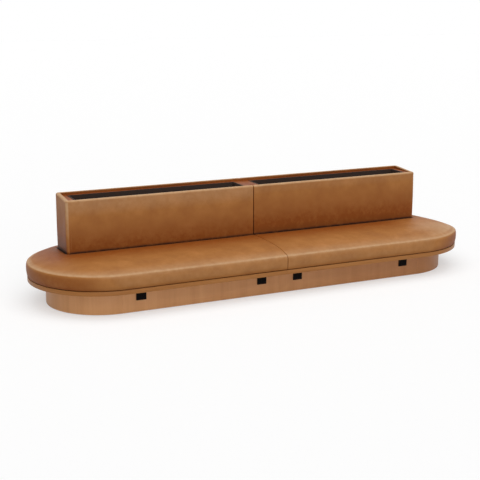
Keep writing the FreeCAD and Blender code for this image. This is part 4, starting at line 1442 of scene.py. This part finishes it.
@dataclass
class BackrestTimber:
    """The backrest's boards and the stained ledge round each planter, with its low upstand."""

    ease: float = 0.0012
    upstand: float = 0.0015
    least_upstand: float = 0.4 * MM
    ledge_top: float = 0.922
    cover_gap: float = 0.0082
    boards: tuple[str, ...] = ("back_front_board", "back_rear_board", "back_outer_end_board",
                               "back_inner_end_board", "back_dividers", "back_shelf_board")

    def add_upstand(self, work: bmesh.types.BMesh, way: int) -> None:
        """Adds the strips that line the rear and end walls above the ledge, cut to the walls' slope.

        Args:
            work: The ledge's mesh.
            way: -1 for the left module, 1 for the right one.
        """
        t = self.upstand
        strips = ((PLAN.joint, PLAN.trough_end, PLAN.trough_rear - t, PLAN.trough_rear),
                  (PLAN.trough_end - t, PLAN.trough_end, PLAN.trough_front + 0.03, PLAN.trough_rear - t))
        for x0, x1, y0, y1 in strips:
            plan = ((x0, y0), (x1, y0), (x1, y1), (x0, y1))
            corners = [work.verts.new((way * x, y, self.ledge_top)) for x, y in plan]
            for x, y in plan:
                height = max(PLAN.wall_top(y) - self.cover_gap, self.ledge_top + self.least_upstand)
                corners.append(work.verts.new((way * x, y, height)))
            faces = ((0, 1, 2, 3), (4, 5, 6, 7), (0, 1, 5, 4), (1, 2, 6, 5), (2, 3, 7, 6), (3, 0, 4, 7))
            made = [work.faces.new([corners[k] for k in face]) for face in faces]
            bmesh.ops.recalc_face_normals(work, faces=made)

    def build(self) -> None:
        """Leaves the boards bare and stains the ledges."""
        for side in Side:
            for name in self.boards:
                dress_node(side.node(name), PLY)
            dressed_copy(side.node("back_ledge_frame"), "_stained", self.ease, LEDGE_TIMBER,
                         sharp_degrees=30, added=partial(self.add_upstand, way=side.value))


@dataclass
class PlanterLiner:
    """A folded steel liner, which lifts out of its trough."""

    side: Side
    ease: float = 0.0007

    def build(self) -> bpy.types.Object:
        """Rounds the liner's folds and coats it."""
        return dressed_copy(self.side.node("planter_liner"), "_coated", self.ease, LINER_COAT,
                            body=self.side.label + "_liner")


# Fittings

@dataclass
class Fittings:
    """The outlets on the plinth, the supply inlet behind, the conduits, brackets, bolts and screws."""

    plate_face: float = -0.529
    inlet_face: float = 0.528
    outlet_z: float = 0.142
    outlet_x: tuple[float, float] = (0.187, 1.365)
    plate_screw_x: float = 0.0392
    inlet_screw_x: float = 0.020
    bracket_x_shares: tuple[float, float] = (0.2, 0.8)
    bracket_screw_x: float = 0.010
    bracket_leg: float = 0.025
    bracket_thick: float = 0.003

    def plate_screw_seats(self) -> list[tuple[Vector, Vector]]:
        """Seats of the screws that hold the outlet plates."""
        return [(Vector((side * x + edge * self.plate_screw_x, self.plate_face, self.outlet_z)),
                 Vector((0, -1, 0))) for x in self.outlet_x for side in (-1, 1) for edge in (-1, 1)]

    def inlet_screw_seats(self) -> list[tuple[Vector, Vector]]:
        """Seats of the screws that hold the supply inlet."""
        return [(Vector((self.outlet_x[0] + edge * self.inlet_screw_x, self.inlet_face, self.outlet_z)),
                 Vector((0, 1, 0))) for edge in (-1, 1)]

    def bracket_screw_seats(self) -> list[tuple[Vector, Vector]]:
        """Seats of the screws that hold the backrest's angle brackets."""
        seats = []
        leg, thick, board = self.bracket_leg, self.bracket_thick, PLAN.board_top
        places = [side * (PLAN.back_end * share) + edge * self.bracket_screw_x
                  for side in (-1, 1) for share in self.bracket_x_shares for edge in (-1, 1)]
        for x in places:
            for wall, way in ((PLAN.trough_front, 1), (PLAN.trough_rear, -1)):
                seats.append((Vector((x, wall + way * thick, board + leg)), Vector((0, way, 0))))
                seats.append((Vector((x, wall + way * leg, board + thick)), Vector((0, 0, 1))))
        return seats

    def build(self) -> None:
        """Dresses every fitting."""
        for node, ease, finish, slot in (
                ("outlet_plates", 0.0012, OUTLET_PLASTIC, "outlet_black"),
                ("outlet_inserts", 0.0003, OUTLET_PLASTIC, "outlet_black"),
                ("power_inlet", 0.0006, OUTLET_PLASTIC, "outlet_black"),
                ("back_brackets", 0.0005, ZINC, "zinc_steel"),
                ("joint_nuts", 0.0004, ZINC, "zinc_steel"),
                ("joint_bolts", 0.0004, ZINC, "zinc_steel")):
            dressed_copy(node, "_eased", ease, finish)
        for node, finish in (("seat_screws", ZINC), ("joint_washers", ZINC), ("outlet_boxes", ZINC),
                             ("wiring_conduits", CONDUIT_PLASTIC)):
            dress_node(node, finish)
        small, pan = (0.0064, 0.0016, 0.0035), (0.008, 0.0024, 0.004)
        ScrewSet("outlet_plate_screws", "outlet_screws", self.plate_screw_seats(), *small, 0.0176,
                 OUTLET_PLASTIC, "outlet_black").build()
        ScrewSet("inlet_flange_screws", "inlet_screws", self.inlet_screw_seats(), *small, 0.016,
                 ZINC, "zinc_steel").build()
        ScrewSet("bracket_pan_screws", "bracket_screws", self.bracket_screw_seats(), *pan, 0.015,
                 ZINC, "zinc_steel").build()


# Studio

@dataclass(frozen=True)
class StudioLamp:
    """One far and broad soft light: its strength, where it comes from, and the angle that it spans."""

    name: str
    strength: float
    comes_from: tuple[float, float, float]
    spread: float

    def hang(self) -> None:
        """Hangs the lamp, facing the bench."""
        data = bpy.data.lights.new(self.name, "SUN")
        data.energy = self.strength
        data.angle = math.radians(self.spread)
        lamp = bpy.data.objects.new(self.name, data)
        lamp.location = Vector(self.comes_from) * 6
        lamp.rotation_euler = (-Vector(self.comes_from)).to_track_quat("-Z", "Y").to_euler()
        bpy.context.scene.collection.objects.link(lamp)


@dataclass
class Studio:
    """White paper, a broad key from above the front, a low fill, an even sky, and the photograph's camera."""

    floor_reach: float = 60.0
    sky: float = 0.2
    lens: float = 75.9
    sensor_width: float = 36.0
    lens_shift: tuple[float, float] = (0.0055, -0.0012)
    camera_place: tuple[float, float, float] = (-4.2299, -8.5717, 2.6572)
    camera_turn: tuple[float, float, float] = (76.719, 0.0, -25.248)
    lamps: tuple[StudioLamp, ...] = (
        StudioLamp("overhead_key", 2.35, (-0.10, -0.33, 0.94), 80.0),
        StudioLamp("low_front_fill", 0.8, (-0.10, -0.98, 0.12), 40.0))

    def lay_floor(self) -> None:
        """Lays the paper."""
        mesh = bpy.data.meshes.new("studio_floor")
        r = self.floor_reach
        mesh.from_pydata([(-r, -r, 0), (r, -r, 0), (r, r, 0), (-r, r, 0)], [], [(0, 1, 2, 3)])
        floor = add_object("studio_floor", mesh)
        floor.data.materials.append(PAPER.material())

    def light_sky(self) -> None:
        """Lights the studio evenly, and shows white to the camera and to mirror rays."""
        world = bpy.data.worlds.new("white studio")
        bpy.context.scene.world = world
        world.use_nodes = True
        tree = world.node_tree
        tree.nodes.clear()
        strength = add_node(tree, "ShaderNodeMapRange", {0: seen_rays(tree), 3: self.sky, 4: 1.0}).outputs[0]
        sky = add_node(tree, "ShaderNodeBackground", {"Color": (1, 1, 1, 1), "Strength": strength})
        add_node(tree, "ShaderNodeOutputWorld", {"Surface": sky.outputs[0]})

    def set_camera(self) -> None:
        """Sets the camera at the photograph's place, fitted to the bench's plan, edges and corners."""
        data = bpy.data.cameras.new("photo_camera")
        data.lens = self.lens
        data.sensor_width = self.sensor_width
        data.shift_x, data.shift_y = self.lens_shift
        camera = bpy.data.objects.new("photo_camera", data)
        camera.location = self.camera_place
        camera.rotation_euler = [math.radians(angle) for angle in self.camera_turn]
        bpy.context.scene.collection.objects.link(camera)
        bpy.context.scene.camera = camera

    def build(self) -> None:
        """Sets the whole studio."""
        bpy.context.scene.view_settings.view_transform = "Standard"
        self.lay_floor()
        self.light_sky()
        for lamp in self.lamps:
            lamp.hang()
        self.set_camera()


def main() -> None:
    """Builds the bench's sub-assemblies in order, then the studio."""
    logging.basicConfig(level=logging.INFO, format="%(name)s: %(message)s")
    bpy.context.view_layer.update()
    modules = [part(side) for side in Side for part in (PlanterLiner, SeatCover, BackCover)]
    for part in (Plinth(), Deck(), BackrestTimber(), Fittings(), *modules, Studio()):
        side = getattr(part, "side", None)
        log.info("building %s%s", type(part).__name__, f" on the {side.label}" if side else "")
        part.build()


if __name__ == "__main__":
    main()
